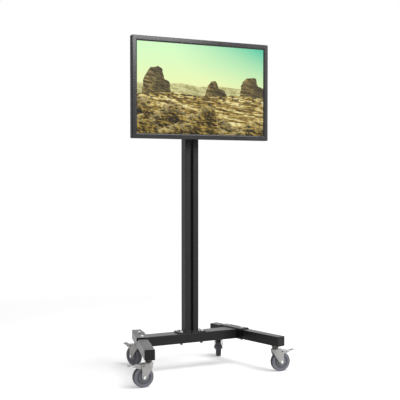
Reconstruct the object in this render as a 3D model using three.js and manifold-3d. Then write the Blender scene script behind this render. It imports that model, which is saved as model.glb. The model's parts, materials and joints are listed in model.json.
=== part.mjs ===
// A mobile stand for a flat display, in millimetres with +Z up.
// A crossbeam and two splayed legs roll on four braked swivel casters. A column of two tubes
// with a slot between them carries a clamped carriage, and the display tilts on the carriage.
// The screen faces -Y. The origin is on the floor, under the middle of the whole stand.

import * as THREE from 'three';
import { mergeVertices } from 'three/addons/utils/BufferGeometryUtils.js';
import Module from 'manifold-3d';

const wasm = await Module();
wasm.setup();

const degree = Math.PI / 180;

// Clearances
const seat = 0.2;            // between two pieces that are fastened face to face
const turnGap = 0.3;         // round a shaft, and beside a piece that slides or turns
const overrun = 5;           // by which a cut passes through its wall

// Base frame
const legTube = 50;
const legWall = 2.5;
const legCorner = 4;
const legForward = 332;      // from the crossbeam's axis to the front end of a leg
const legRear = 183;
const legSpacing = 550;      // between the legs on the crossbeam's axis
const splay = 14.7 * degree;
const capFlange = 3;
const plugLength = 14;
const plugPlay = 0.25;       // on each side of a plug in its tube
const beamDepth = 80;
const beamWall = 3;
const beamCorner = 4;

// Leg saddles
const saddlePlate = 5;
const saddleForward = 66;
const saddleRear = 100;
const saddleLip = 12;

// Fasteners of the base
const boltRadius = 4;
const boltHead = 5.3;
const nutHeight = 6.5;
const hexRadius = 7.5;
const washerRadius = 8.5;
const washerThickness = 1.6;
const threadEnd = 3;
const boltPlay = 0.3;
const jointBoltForward = 42;
const jointBoltRear = 66;
const footBoltSpacingX = 115;
const footBoltSpacingY = 38;

// Column
const footPlateWidth = 150;
const footPlateDepth = 78;
const footPlateThickness = 5;
const columnTubeWidth = 30;
const columnDepth = 50;
const columnWall = 2.5;
const columnCorner = 3;
const columnSlot = 15;
const columnAboveScreen = 218; // from the screen's middle up to the column's top
const capThickness = 4;

// Casters, measured from the swivel axis, with the wheel trailing along the local +X
const casterInset = 42;      // from the end of a leg to the swivel axis
const wheelRadius = 50;
const tyreWidth = 26;
const tyreShoulder = 3;
const tyreInner = 34;
const trail = 28;
const forkWidth = 44;
const forkWall = 3;
const forkEye = 11.5;        // radius of the fork round the axle
const skirtFront = 9;        // height of the fork's skirt in front
const wheelHeadroom = 9.5;   // between the tread and the crown
const crownThickness = 3.5;
const axleRadius = 4;
const axleHead = 4.5;
const axleHex = 6.5;
const axleNutShare = 0.7;    // the nut's height as a share of the head's
const hubBoss = 8;           // radius of the hub's boss, at the top of a flat cone
const hubCone = 27;          // radius of the cone at its foot
const hubConeHalf = 13.5;    // half thickness of the hub there
const hubGroove = 8;         // half thickness in the groove between the cone and the rim
const hubRim = 4;            // radial thickness of the rim
const kingpinRadius = 5;
const kingpinHeadRadius = 9;
const kingpinHead = 3;
const kingpinTopShare = 0.7; // radius of the peened end as a share of the head's
const raceRadius = 10.5;
const headRadius = 19;
const raceHeight = 14;
const headRim = 4;
const headPlate = 2.2;
const stemRadius = 6;
const stemNutRadius = 10;
const stemNutHeight = 8;
const headings = { front_left: 176.6, front_right: 352, rear_left: 110, rear_right: 65.8 };

// Brake pedals, in the same local directions as the casters
const pedalPinX = 31;
const pedalPinRadius = 2.2;
const pedalReach = 104;
const pedalSheet = 2.4;
const pedalWidth = 34;
const pedalHeel = 7;         // from the pin back to the pedal's heel
const pedalKnee = 27;        // from the pin to the end of the flat top
const pedalDip = 41;         // from the pin to the lowest point of the blade
const pedalDipDepth = 4.5;
const pedalRoof = 4;         // from the pin's centre up to the blade's top
const pedalSkirt = 15.5;     // from the pin's centre down to the skirt's front edge
const pedalSkirtRear = 9.5;
const pedalSkirtLength = 35;
const pedalTipWidth = 26;
const padDepth = 5.8;
const padLength = 11;
const padStart = 13;
const pedalTipCorner = 6;

// Carriage
const carriageWidth = 120;
const carriageHeight = 200;
const carriageThickness = 5;
const carriageCorner = 8;
const clampWidth = 100;
const clampHeight = 190;
const clampThickness = 5;
const guideHeight = 180;
const studSpacing = 150;
const studRadius = 4;
const guideDepth = 30;
const weldNutRadius = 7.5;
const weldNutHeight = 6.5;
const clampKnobRadius = 25;
const clampKnobDepth = 20;
const knobLobes = 5;
const lobeShare = 0.1;       // lobe height as a share of the knob's radius
const knobNeckShare = 0.5;   // neck radius as a share of the knob's radius
const knobNeck = 6;

// Clevis and tilt head
const clevisWidth = 90;
const clevisBaseWidth = 112;
const clevisBase = 4;
const clevisHeight = 100;
const earThickness = 4;
const pivotReach = 22.2;     // from the clevis base to the pivot
const pivotRadius = 5;
const pivotHeadRadius = 9;
const pivotHead = 4;
const earRadius = 13;
const earLowRadius = 11;
const earTopReach = 22;      // above the pivot, at the clevis base
const tiltReach = 24;        // from the pivot to the tilt bracket's plate
const tiltPlate = 3;
const tiltPlateWidth = 240;
const tiltPlateHeight = 110;
const tiltCorner = 8;
const armThickness = 3;
const armRadius = 14;
const armLowRadius = 12;
const armTopReach = 30;      // above the pivot, at the tilt bracket's plate
const armLowReach = 45;
const armGap = 0.5;          // between an arm and its ear
const lockOffset = 30;       // from the pivot down to the tilt lock's stud
const lockRadius = 3;
const lockHeadRadius = 7;
const lockHead = 4;
const lockKnobRadius = 14;
const lockKnobDepth = 16;
const tiltDown = 15 * degree;
const tiltUp = 5 * degree;
const slotMargin = 1.5 * degree;

// Display
const displayWidth = 756;
const displayHeight = 497;
const displayCorner = 5;
const screenHeight = 1428;   // from the floor to the middle of the screen
const bezelWidth = 24;
const bezelDepth = 10;
const bezelLip = 4;          // thickness of the lip in front of the panel
const lipSlope = 2;          // by which the opening widens towards the front
const lipOverlap = 5;        // by which the lip covers the panel's edge
const panelPlay = 0.5;
const panelThickness = 5;
const shellDepth = 20;
const shellWall = 2.5;
const housingWidth = 480;
const housingHeight = 320;
const housingDepth = 22;
const housingSlope = 16;     // by which the housing draws in towards its rear face
const railSpacing = 200;
const railWidth = 30;
const railDepth = 16;
const railHeight = 300;
const railWall = 2.5;
const ventCount = 12;
const ventsAcross = 60;      // as many vents would span the whole housing
const ventHeight = 26;
const ventShare = 0.35;      // from the middle to each vent group, as a share of the housing
const ventRise = 95;
const inletWidth = 27;
const inletHeight = 20;
const inletDepth = 14;
const inletOffset = 150;
const inletDrop = 110;
const inletWall = 2.5;
const inletPin = 2;
const inletPinPitch = 7;

// Worked out from the sizes above
const halfLeg = legTube / 2;
const axleZ = wheelRadius;
const crownUnder = 2 * wheelRadius + wheelHeadroom;
const crownTop = crownUnder + crownThickness;
const raceBottom = crownTop + turnGap;
const rimBottom = raceBottom + raceHeight;
const headTop = rimBottom + headRim + headPlate;
const legBottom = headTop + seat;
const legTop = legBottom + legTube;
const saddleTop = legTop + seat + saddlePlate;
const footPlateBottom = legTop + seat;
const footPlateTop = footPlateBottom + footPlateThickness;
const columnBottom = footPlateTop + seat;
const columnTop = screenHeight + columnAboveScreen;
const columnWidth = 2 * columnTubeWidth + columnSlot;
const columnFront = -columnDepth / 2;
const columnBack = columnDepth / 2;
const carriageFront = columnFront - turnGap - carriageThickness;
const clevisFront = carriageFront - seat - clevisBase;
const pivotY = clevisFront - pivotReach;
const tiltPlateBack = pivotY - tiltReach;
const tiltPlateFront = tiltPlateBack - tiltPlate;
const railFront = tiltPlateFront - seat - railDepth;
const housingBack = railFront - seat;
const shellBack = housingBack - housingDepth;
const shellFront = shellBack - shellDepth;
const bezelBack = shellFront - seat;
const bezelFront = bezelBack - bezelDepth;
const pedalPinZ = crownUnder - turnGap - pedalRoof - turnGap;

// Finishes
const finish = (color, roughness, metalness) =>
  new THREE.MeshStandardMaterial({ color, roughness, metalness });
const blackPaint = finish(0x2b2b2c, 0.42, 0.3);
const blackPlastic = finish(0x1c1c1d, 0.6, 0);
const zinc = finish(0xb9b8b2, 0.32, 0.9);
const blackMetal = finish(0x202022, 0.45, 0.5);
const greyRubber = finish(0x75757d, 0.75, 0);
const greyHub = finish(0x8a8b90, 0.5, 0);
const casing = finish(0x47474a, 0.38, 0);
const screenGlass = finish(0x8f8d58, 0.2, 0);

// Solids from three.js geometry, joined and cut

function solid(geometry) {
  const bare = geometry.index ? geometry.toNonIndexed() : geometry;
  bare.deleteAttribute('normal');
  bare.deleteAttribute('uv');
  const merged = mergeVertices(bare);
  const corners = merged.index.array;
  const kept = [];
  for (let i = 0; i < corners.length; i += 3) {
    const [a, b, c] = [corners[i], corners[i + 1], corners[i + 2]];
    if (a !== b && b !== c && c !== a) kept.push(a, b, c);
  }
  const mesh = new wasm.Mesh({
    numProp: 3,
    vertProperties: new Float32Array(merged.attributes.position.array),
    triVerts: new Uint32Array(kept),
  });
  return new wasm.Manifold(mesh);
}

const join = (...solids) => solids.reduce((all, next) => all.add(next));
const cut = (body, ...tools) => tools.reduce((rest, tool) => rest.subtract(tool), body);

function geometryOf(manifold) {
  const mesh = manifold.getMesh();
  const geometry = new THREE.BufferGeometry();
  geometry.setAttribute('position', new THREE.BufferAttribute(mesh.vertProperties, 3));
  geometry.setIndex(new THREE.BufferAttribute(mesh.triVerts, 1));
  geometry.computeVertexNormals();
  return geometry;
}

function piece(parent, name, manifold, material) {
  const mesh = new THREE.Mesh(geometryOf(manifold), material.clone());
  mesh.name = name;
  parent.add(mesh);
  return mesh;
}

const block = (x0, x1, y0, y1, z0, z1) =>
  solid(new THREE.BoxGeometry(x1 - x0, y1 - y0, z1 - z0)
    .translate((x0 + x1) / 2, (y0 + y1) / 2, (z0 + z1) / 2));

// Turns a solid that was drawn along z, so that it runs along the named axis.
// Along x the outline's own axes become y and z, and along y they become x and z.
function aim(geometry, axis) {
  if (axis === 'x') {
    const [x, y, z] = [0, 1, 2].map((i) => new THREE.Vector3().setComponent(i, 1));
    return geometry.applyMatrix4(new THREE.Matrix4().makeBasis(y, z, x));
  }
  return axis === 'y' ? geometry.rotateX(Math.PI / 2) : geometry;
}

// Each quarter turn or arc of the outline gets twice as many edges as `curveSegments` says
function prism(outline, axis, from, to, curveSegments = 4) {
  const settings = { depth: to - from, bevelEnabled: false, curveSegments };
  const start = axis === 'y' ? -to : from;
  const geometry = new THREE.ExtrudeGeometry(outline, settings).translate(0, 0, start);
  return solid(aim(geometry, axis));
}

// A round bar, or a hexagonal one with six sides, centred on the point (a, b) of the outline's plane
function bar(radius, axis, from, to, a = 0, b = 0, sides = 16) {
  const start = axis === 'y' ? -to : from;
  const geometry = new THREE.CylinderGeometry(radius, radius, to - from, sides)
    .rotateX(Math.PI / 2)
    .translate(a, b, start + (to - from) / 2);
  return solid(aim(geometry, axis));
}

function rectangle(width, height, corner, x = 0, y = 0) {
  const [w, h] = [width / 2 - corner, height / 2 - corner];
  const outline = new THREE.Shape();
  outline.absarc(x + w, y + h, corner, 0, Math.PI / 2);
  outline.absarc(x - w, y + h, corner, Math.PI / 2, Math.PI);
  outline.absarc(x - w, y - h, corner, Math.PI, 1.5 * Math.PI);
  outline.absarc(x + w, y - h, corner, 1.5 * Math.PI, 2 * Math.PI);
  return outline;
}

function polygon(points) {
  return new THREE.Shape(points.map(([x, y]) => new THREE.Vector2(x, y)));
}

function revolve(profile, sides) {
  const points = profile.map(([radius, height]) => new THREE.Vector2(radius, height));
  return new THREE.LatheGeometry(points, sides, Math.PI / sides);
}

function tube(width, height, corner, wall, axis, from, to, x = 0, y = 0) {
  const outer = prism(rectangle(width, height, corner, x, y), axis, from, to, 2);
  const inner = rectangle(width - 2 * wall, height - 2 * wall, Math.max(corner - wall, wall / 2), x, y);
  return cut(outer, prism(inner, axis, from - overrun, to + overrun, 1));
}

// A bolt down through a stack, with washers at both ends and a nut below
const boltSides = 8;
function throughBolt(x, y, top, bottom) {
  const headBottom = top + seat + washerThickness;
  const nutTop = bottom - seat - washerThickness;
  const nutBottom = nutTop - nutHeight;
  return join(
    bar(hexRadius, 'z', headBottom, headBottom + boltHead, x, y, 6),
    bar(washerRadius, 'z', top + seat, headBottom, x, y, 12),
    bar(boltRadius, 'z', nutBottom - threadEnd, headBottom, x, y, boltSides),
    bar(washerRadius, 'z', nutTop, bottom - seat, x, y, 12),
    bar(hexRadius, 'z', nutBottom, nutTop, x, y, 6),
  );
}

const boltHole = (x, y, bottom, top) =>
  bar(boltRadius + boltPlay, 'z', bottom - overrun, top + overrun, x, y, boltSides);

const stand = new THREE.Group();
const centred = new THREE.Group();
centred.add(stand);

// Crossbeam, mitred at both ends against the saddles
const saddleInner = halfLeg + seat + saddlePlate + seat;
const mitreX = (y) => legSpacing / 2 - saddleInner / Math.cos(splay) - y * Math.tan(splay);
const footBolts = [-1, 1].flatMap((sx) =>
  [-1, 1].map((sy) => [sx * footBoltSpacingX / 2, sy * footBoltSpacingY / 2]));

function crossbeam() {
  const half = beamDepth / 2;
  const body = tube(beamDepth, legTube, beamCorner, beamWall, 'x',
    -legSpacing / 2, legSpacing / 2, 0, legBottom + halfLeg);
  const plan = polygon([
    [-mitreX(-half), -half - overrun], [mitreX(-half), -half - overrun],
    [mitreX(-half), -half], [mitreX(half), half],
    [mitreX(half), half + overrun], [-mitreX(half), half + overrun],
    [-mitreX(half), half], [-mitreX(-half), -half],
  ]);
  const holes = footBolts.map(([x, y]) => boltHole(x, y, legBottom, legTop));
  return cut(body.intersect(prism(plan, 'z', legBottom - overrun, legTop + overrun)), ...holes);
}
piece(stand, 'crossbeam', crossbeam(), blackPaint);

// Legs in their own turned groups, with the front end along the local -Y
const casterForward = legForward - casterInset;
const casterRear = legRear - casterInset;
const jointBolts = { front: -jointBoltForward, rear: jointBoltRear };

function leg() {
  const body = tube(legTube, legTube, legCorner, legWall, 'y',
    -legForward + capFlange + seat, legRear - capFlange - seat, 0, legBottom + halfLeg);
  const boltHoles = Object.values(jointBolts).map((y) => boltHole(0, y, legBottom, legTop));
  const stemHoles = [-casterForward, casterRear].map((y) =>
    bar(stemRadius + boltPlay, 'z', legBottom - overrun, legBottom + halfLeg, 0, y));
  return cut(body, ...boltHoles, ...stemHoles);
}

function legCap(end, sign) {
  const plugSide = legTube - 2 * (legWall + plugPlay);
  const face = rectangle(legTube, legTube, legCorner, 0, legBottom + halfLeg);
  const plug = rectangle(plugSide, plugSide, legWall, 0, legBottom + halfLeg);
  const [inner, root] = [end - sign * capFlange, end - sign * capFlange / 2];
  const tip = inner - sign * plugLength;
  return join(
    prism(face, 'y', Math.min(end, inner), Math.max(end, inner), 2),
    prism(plug, 'y', Math.min(root, tip), Math.max(root, tip), 1),
  );
}

// The folded saddle has a plate on the leg, a wall against the crossbeam and a lip outside
function saddle(side) {
  const gapSide = halfLeg + seat;
  const wallSide = gapSide + saddlePlate;
  const gapTop = legTop + seat;
  const profile = polygon([
    [-side * wallSide, legBottom], [-side * gapSide, legBottom],
    [-side * gapSide, gapTop], [side * gapSide, gapTop],
    [side * gapSide, legTop - saddleLip], [side * wallSide, legTop - saddleLip],
    [side * wallSide, saddleTop], [-side * wallSide, saddleTop],
  ]);
  const holes = Object.values(jointBolts).map((y) => boltHole(0, y, legTop, saddleTop));
  return cut(prism(profile, 'y', -saddleForward, saddleRear), ...holes);
}

for (const [name, side] of [['left', -1], ['right', 1]]) {
  const group = new THREE.Group();
  group.position.x = side * legSpacing / 2;
  group.rotation.z = side * splay;
  stand.add(group);
  piece(group, `leg_${name}`, leg(), blackPaint);
  piece(group, `leg_cap_front_${name}`, legCap(-legForward, -1), blackPlastic);
  piece(group, `leg_cap_rear_${name}`, legCap(legRear, 1), blackPlastic);
  piece(group, `saddle_${name}`, saddle(side), blackPaint);
  for (const [end, y] of Object.entries(jointBolts)) {
    piece(group, `joint_bolt_${end}_${name}`, throughBolt(0, y, saddleTop, legBottom), zinc);
  }
}

// Foot plate and column
const footPlate = cut(
  prism(rectangle(footPlateWidth, footPlateDepth, legCorner), 'z', footPlateBottom, footPlateTop, 2),
  ...footBolts.map(([x, y]) => boltHole(x, y, footPlateBottom, footPlateTop)),
);
piece(stand, 'foot_plate', footPlate, blackPaint);
footBolts.forEach(([x, y]) => {
  const name = `foot_bolt_${y < 0 ? 'front' : 'rear'}_${x < 0 ? 'left' : 'right'}`;
  piece(stand, name, throughBolt(x, y, footPlateTop, legBottom), zinc);
});

const columnTubeX = (columnSlot + columnTubeWidth) / 2;
for (const [name, side] of [['left', -1], ['right', 1]]) {
  const upright = tube(columnTubeWidth, columnDepth, columnCorner, columnWall, 'z',
    columnBottom, columnTop, side * columnTubeX, 0);
  piece(stand, `column_tube_${name}`, upright, blackPaint);
}

function columnCap() {
  const bottom = columnTop + seat;
  const inset = 2 * (columnWall + plugPlay);
  const face = rectangle(columnWidth, columnDepth, columnCorner);
  const plate = prism(face, 'z', bottom, bottom + capThickness, 2);
  const [plugWidth, plugDepth] = [columnTubeWidth - inset, columnDepth - inset];
  const plugs = [-1, 1].map((side) => {
    const outline = rectangle(plugWidth, plugDepth, columnWall / 2, side * columnTubeX);
    return prism(outline, 'z', bottom - plugLength, bottom + capThickness / 2, 1);
  });
  return join(plate, ...plugs);
}
piece(stand, 'column_cap', columnCap(), blackPlastic);

// Casters
const forkHalf = forkWidth / 2;
const forkInner = forkHalf - forkWall;
const forkRear = trail + forkEye;

function casterHead() {
  const stemTop = legBottom + legWall + seat + stemNutHeight + threadEnd;
  const nutBottom = legBottom + legWall + seat;
  const profile = [
    [0, crownUnder - turnGap - kingpinHead],
    [kingpinHeadRadius * kingpinTopShare, crownUnder - turnGap - kingpinHead],
    [kingpinHeadRadius, crownUnder - turnGap - kingpinHead / 2],
    [kingpinHeadRadius, crownUnder - turnGap],
    [kingpinRadius, crownUnder - turnGap],
    [kingpinRadius, raceBottom],
    [raceRadius, raceBottom],
    [headRadius, rimBottom],
    [headRadius, rimBottom + headRim],
    [headRadius - headPlate, headTop],
    [stemRadius, headTop],
    [stemRadius, stemTop],
    [0, stemTop],
  ];
  return join(
    solid(revolve(profile, 16).rotateX(Math.PI / 2)),
    bar(stemNutRadius, 'z', nutBottom, nutBottom + stemNutHeight, 0, 0, 6),
  );
}

// The side outline of the fork: a skirt that slants from the front down to the axle's eye
function forkSide() {
  const front = -forkHalf;
  const skirt = crownTop - skirtFront;
  const reach = Math.hypot(trail - front, skirt - axleZ);
  const lean = Math.atan2(axleZ - skirt, trail - front) - Math.asin(forkEye / reach);
  const outline = new THREE.Shape();
  outline.moveTo(front - overrun, skirt);
  outline.lineTo(front - overrun, crownTop);
  outline.lineTo(forkRear, crownTop);
  outline.absarc(trail, axleZ, forkEye, 0, lean - Math.PI / 2, true);
  outline.lineTo(front, skirt);
  return outline;
}

function forkPlan(radius, rear) {
  const outline = new THREE.Shape();
  outline.absarc(0, 0, radius, Math.PI / 2, 1.5 * Math.PI);
  outline.lineTo(rear, -radius);
  outline.lineTo(rear, radius);
  return outline;
}

function fork() {
  const low = axleZ - forkEye;
  const pressed = cut(
    prism(forkPlan(forkHalf, forkRear), 'z', low - overrun, crownTop, 6),
    prism(forkPlan(forkInner, forkRear + overrun), 'z', low - 2 * overrun, crownUnder, 6),
  );
  return cut(
    pressed.intersect(prism(forkSide(), 'y', -forkWidth, forkWidth)),
    bar(kingpinRadius + turnGap, 'z', crownUnder - overrun, crownTop + overrun),
    bar(axleRadius + turnGap, 'y', -forkWidth, forkWidth, trail, axleZ, 12),
    bar(pedalPinRadius + turnGap, 'y', -forkWidth, forkWidth, pedalPinX, pedalPinZ, 10),
  );
}

function axle() {
  const outside = forkHalf + seat;
  return join(
    bar(axleRadius, 'y', -outside - axleHead, outside + axleHead, trail, axleZ, 12),
    bar(axleHex, 'y', -outside - axleHead, -outside, trail, axleZ, 6),
    bar(axleHex, 'y', outside, outside + axleNutShare * axleHead, trail, axleZ, 6),
  );
}

const wheelPiece = (profile) => solid(revolve(profile, 24).translate(trail, 0, axleZ));

function tyre() {
  const half = tyreWidth / 2;
  const profile = [
    [tyreInner, -half],
    [wheelRadius - tyreShoulder, -half], [wheelRadius - tyreShoulder / 3, -half + tyreShoulder / 3],
    [wheelRadius, -half + tyreShoulder], [wheelRadius, half - tyreShoulder],
    [wheelRadius - tyreShoulder / 3, half - tyreShoulder / 3], [wheelRadius - tyreShoulder, half],
    [tyreInner, half],
    [tyreInner, -half],
  ];
  return wheelPiece(profile);
}

function hub() {
  const bore = axleRadius + turnGap;
  const bossHalf = forkInner - turnGap;
  const rimOuter = tyreInner - seat;
  const rimInner = rimOuter - hubRim;
  const rimHalf = tyreWidth / 2 - tyreShoulder / 2;
  const profile = [
    [bore, -bossHalf], [hubBoss, -bossHalf], [hubCone, -hubConeHalf], [hubCone, -hubGroove],
    [rimInner, -hubGroove], [rimInner, -rimHalf], [rimOuter, -rimHalf],
    [rimOuter, rimHalf], [rimInner, rimHalf], [rimInner, hubGroove],
    [hubCone, hubGroove], [hubCone, hubConeHalf], [hubBoss, bossHalf], [bore, bossHalf],
    [bore, -bossHalf],
  ];
  return wheelPiece(profile);
}

// The pedal is drawn round its pin: a channel over the wheel that thins out to a blade
function pedal() {
  const low = pedalPinRadius + pedalSheet;
  const under = pedalRoof - pedalSheet;
  const tip = pedalReach - pedalPinX;
  const front = forkRear - pedalPinX;
  const half = pedalWidth / 2;
  const side = polygon([
    [-pedalHeel, 0], [0, pedalRoof], [pedalKnee, pedalRoof], [pedalDip, pedalRoof - pedalDipDepth],
    [tip, pedalRoof], [tip, under], [pedalDip, under - pedalDipDepth],
    [pedalSkirtLength, -pedalSkirtRear], [front, -pedalSkirt], [-pedalHeel, -low],
  ]);
  const inside = polygon([
    [-pedalHeel - overrun, -pedalSheet - overrun], [0, under], [pedalKnee, under],
    [pedalDip, under - pedalDipDepth], [pedalDip, -pedalSkirt - overrun],
    [-pedalHeel - overrun, -pedalSkirt - overrun],
  ]);
  const plan = new THREE.Shape();
  const [tipX, tipY] = [tip - pedalTipCorner, pedalTipWidth / 2 - pedalTipCorner];
  plan.moveTo(-pedalHeel - overrun, -half);
  plan.lineTo(pedalDip, -half);
  plan.absarc(tipX, -tipY, pedalTipCorner, -Math.PI / 2, 0);
  plan.absarc(tipX, tipY, pedalTipCorner, 0, Math.PI / 2);
  plan.lineTo(pedalDip, half);
  plan.lineTo(-pedalHeel - overrun, half);
  const channel = cut(
    prism(side, 'y', -half, half).intersect(prism(plan, 'z', -pedalReach, pedalReach, 2)),
    prism(inside, 'y', -half + pedalSheet, half - pedalSheet),
  );
  const padHalf = tyreWidth / 2 - tyreShoulder / 2;
  return join(
    channel,
    block(padStart, padStart + padLength, -padHalf, padHalf, under - padDepth, under + pedalSheet / 2),
    bar(pedalPinRadius, 'y', -forkHalf + seat, forkHalf - seat, 0, 0, 10),
  );
}

const stemPlaces = {
  front_left: [-1, casterForward], front_right: [1, casterForward],
  rear_left: [-1, -casterRear], rear_right: [1, -casterRear],
};
for (const [place, [side, forward]] of Object.entries(stemPlaces)) {
  const caster = new THREE.Group();
  caster.position.x = side * (legSpacing / 2 + forward * Math.sin(splay));
  caster.position.y = -forward * Math.cos(splay);
  caster.rotation.z = headings[place] * degree;
  stand.add(caster);
  piece(caster, `caster_head_${place}`, casterHead(), blackMetal);
  piece(caster, `caster_fork_${place}`, fork(), zinc);
  piece(caster, `caster_axle_${place}`, axle(), zinc);
  piece(caster, `caster_tyre_${place}`, tyre(), greyRubber);
  piece(caster, `caster_hub_${place}`, hub(), greyHub);
  const brake = piece(caster, `brake_pedal_${place}`, pedal(), zinc);
  brake.position.set(pedalPinX, 0, pedalPinZ);
}

// Carriage, clamped on the column through its slot
const carriageBack = columnFront - turnGap;
const clampFront = columnBack + turnGap;
const studs = { upper: screenHeight + studSpacing / 2, lower: screenHeight - studSpacing / 2 };
const studHoles = (from, to) =>
  Object.values(studs).map((z) => bar(studRadius + turnGap, 'y', from, to, 0, z));

function carriagePlate() {
  const outline = rectangle(carriageWidth, carriageHeight, carriageCorner, 0, screenHeight);
  const [nutFront, nutRoot] = [carriageFront - weldNutHeight, carriageFront + carriageThickness / 2];
  const nuts = Object.values(studs).map((z) => bar(weldNutRadius, 'y', nutFront, nutRoot, 0, z, 6));
  return cut(
    join(prism(outline, 'y', carriageFront, carriageBack, 2), ...nuts),
    ...studHoles(nutFront - overrun, carriageBack + overrun),
  );
}
piece(stand, 'carriage_plate', carriagePlate(), blackPaint);

const guideHalf = columnSlot / 2 - turnGap;
const slotGuide = cut(
  block(-guideHalf, guideHalf, carriageBack + seat, carriageBack + seat + guideDepth,
    screenHeight - guideHeight / 2, screenHeight + guideHeight / 2),
  ...studHoles(carriageBack - overrun, carriageBack + guideDepth + overrun),
);
piece(stand, 'slot_guide', slotGuide, blackPlastic);

const clampPlate = cut(
  prism(rectangle(clampWidth, clampHeight, carriageCorner, 0, screenHeight), 'y',
    clampFront, clampFront + clampThickness, 2),
  ...studHoles(clampFront - overrun, clampFront + clampThickness + overrun),
);
piece(stand, 'clamp_plate', clampPlate, blackPaint);

function lobedOutline(radius, x, y) {
  const steps = 8 * knobLobes;
  const points = [...Array(steps).keys()].map((i) => {
    const angle = 2 * Math.PI * i / steps;
    const reach = radius * (1 - lobeShare + lobeShare * Math.cos(knobLobes * angle));
    return [x + reach * Math.cos(angle), y + reach * Math.sin(angle)];
  });
  return polygon(points);
}

// A star knob on a stud: the neck faces what it clamps, at the place `from`
function starKnob(radius, depth, stud, axis, tip, from, a, b) {
  return join(
    bar(stud, axis, tip, from + knobNeck, a, b),
    bar(radius * knobNeckShare, axis, from, from + knobNeck + depth / 2, a, b),
    prism(lobedOutline(radius, a, b), axis, from + knobNeck, from + knobNeck + depth),
  );
}

for (const [name, z] of Object.entries(studs)) {
  const knob = starKnob(clampKnobRadius, clampKnobDepth, studRadius, 'y',
    carriageFront - weldNutHeight - threadEnd, clampFront + clampThickness + seat, 0, z);
  piece(stand, `clamp_knob_${name}`, knob, blackPlastic);
}

// Clevis on the carriage, drawn round the pivot
const pivotZ = screenHeight;
const lockZ = pivotZ - lockOffset;
const clevisHalf = clevisWidth / 2;
const armInside = clevisHalf + armGap;
const armOutside = armInside + armThickness;

function earOutline() {
  const [y, z] = [pivotY, pivotZ];
  const root = pivotReach + clevisBase / 2;
  const outline = new THREE.Shape();
  outline.moveTo(y + root, z + earTopReach);
  outline.lineTo(y, z + earRadius);
  outline.absarc(y, z, earRadius, Math.PI / 2, Math.PI);
  outline.absarc(y, z - lockOffset, earLowRadius, Math.PI, 1.5 * Math.PI);
  outline.lineTo(y + root, z - lockOffset - earRadius);
  return outline;
}

// The slot in which the lock's stud travels, round the pivot from one tilt limit to the other
function lockSlot() {
  const [first, last] = [-Math.PI / 2 - tiltUp - slotMargin, -Math.PI / 2 + tiltDown + slotMargin];
  const half = lockRadius + turnGap;
  const at = (angle) => [pivotY + lockOffset * Math.cos(angle), pivotZ + lockOffset * Math.sin(angle)];
  const outline = new THREE.Shape();
  outline.absarc(pivotY, pivotZ, lockOffset + half, first, last);
  outline.absarc(...at(last), half, last, last + Math.PI);
  outline.absarc(pivotY, pivotZ, lockOffset - half, last, first, true);
  outline.absarc(...at(first), half, first + Math.PI, first + 2 * Math.PI);
  return outline;
}

function clevis() {
  const outline = rectangle(clevisBaseWidth, clevisHeight, clevisBase, 0, screenHeight);
  const base = prism(outline, 'y', clevisFront, clevisFront + clevisBase, 2);
  const ears = [-1, 1].map((side) => {
    const [a, b] = [side * clevisHalf, side * (clevisHalf - earThickness)];
    return prism(earOutline(), 'x', Math.min(a, b), Math.max(a, b));
  });
  return cut(
    join(base, ...ears),
    bar(pivotRadius + turnGap, 'x', -clevisHalf - overrun, clevisHalf + overrun, pivotY, pivotZ),
    prism(lockSlot(), 'x', clevisHalf - earThickness - overrun, clevisHalf + overrun),
  );
}
piece(stand, 'clevis_bracket', clevis(), blackPaint);

const pinSeat = armOutside + turnGap;
const pivotPin = join(
  bar(pivotRadius, 'x', -pinSeat - pivotHead, pinSeat + pivotHead, pivotY, pivotZ),
  bar(pivotHeadRadius, 'x', -pinSeat - pivotHead, -pinSeat, pivotY, pivotZ, 20),
  bar(pivotHeadRadius, 'x', pinSeat, pinSeat + pivotHead, pivotY, pivotZ, 20),
);
piece(stand, 'pivot_pin', pivotPin, zinc);

// Tilt bracket, its lock and the rails
function armOutline() {
  const [y, z] = [pivotY, pivotZ];
  const root = tiltPlateBack - tiltPlate / 2;
  const outline = new THREE.Shape();
  outline.moveTo(root, z - armLowReach);
  outline.lineTo(y, z - lockOffset - armLowRadius);
  outline.absarc(y, z - lockOffset, armLowRadius, -Math.PI / 2, 0);
  outline.absarc(y, z, armRadius, 0, Math.PI / 2);
  outline.lineTo(root, z + armTopReach);
  return outline;
}

function tiltBracket() {
  const outline = rectangle(tiltPlateWidth, tiltPlateHeight, tiltCorner, 0, screenHeight);
  const plate = prism(outline, 'y', tiltPlateFront, tiltPlateBack, 2);
  const arms = [-1, 1].map((side) => {
    const [a, b] = [side * armInside, side * armOutside];
    return prism(armOutline(), 'x', Math.min(a, b), Math.max(a, b));
  });
  return cut(
    join(plate, ...arms),
    bar(pivotRadius + turnGap, 'x', -armOutside - overrun, armOutside + overrun, pivotY, pivotZ),
    bar(lockRadius + turnGap, 'x', armInside - overrun, armOutside + overrun, pivotY, lockZ, 12),
  );
}
piece(stand, 'tilt_bracket', tiltBracket(), blackPaint);

const lockInside = clevisHalf - earThickness - turnGap;
const tiltKnob = join(
  starKnob(lockKnobRadius, lockKnobDepth, lockRadius, 'x', lockInside - lockHead,
    armOutside + turnGap, pivotY, lockZ),
  bar(lockHeadRadius, 'x', lockInside - lockHead, lockInside, pivotY, lockZ, 6),
);
piece(stand, 'tilt_knob', tiltKnob, blackPlastic);

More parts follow.
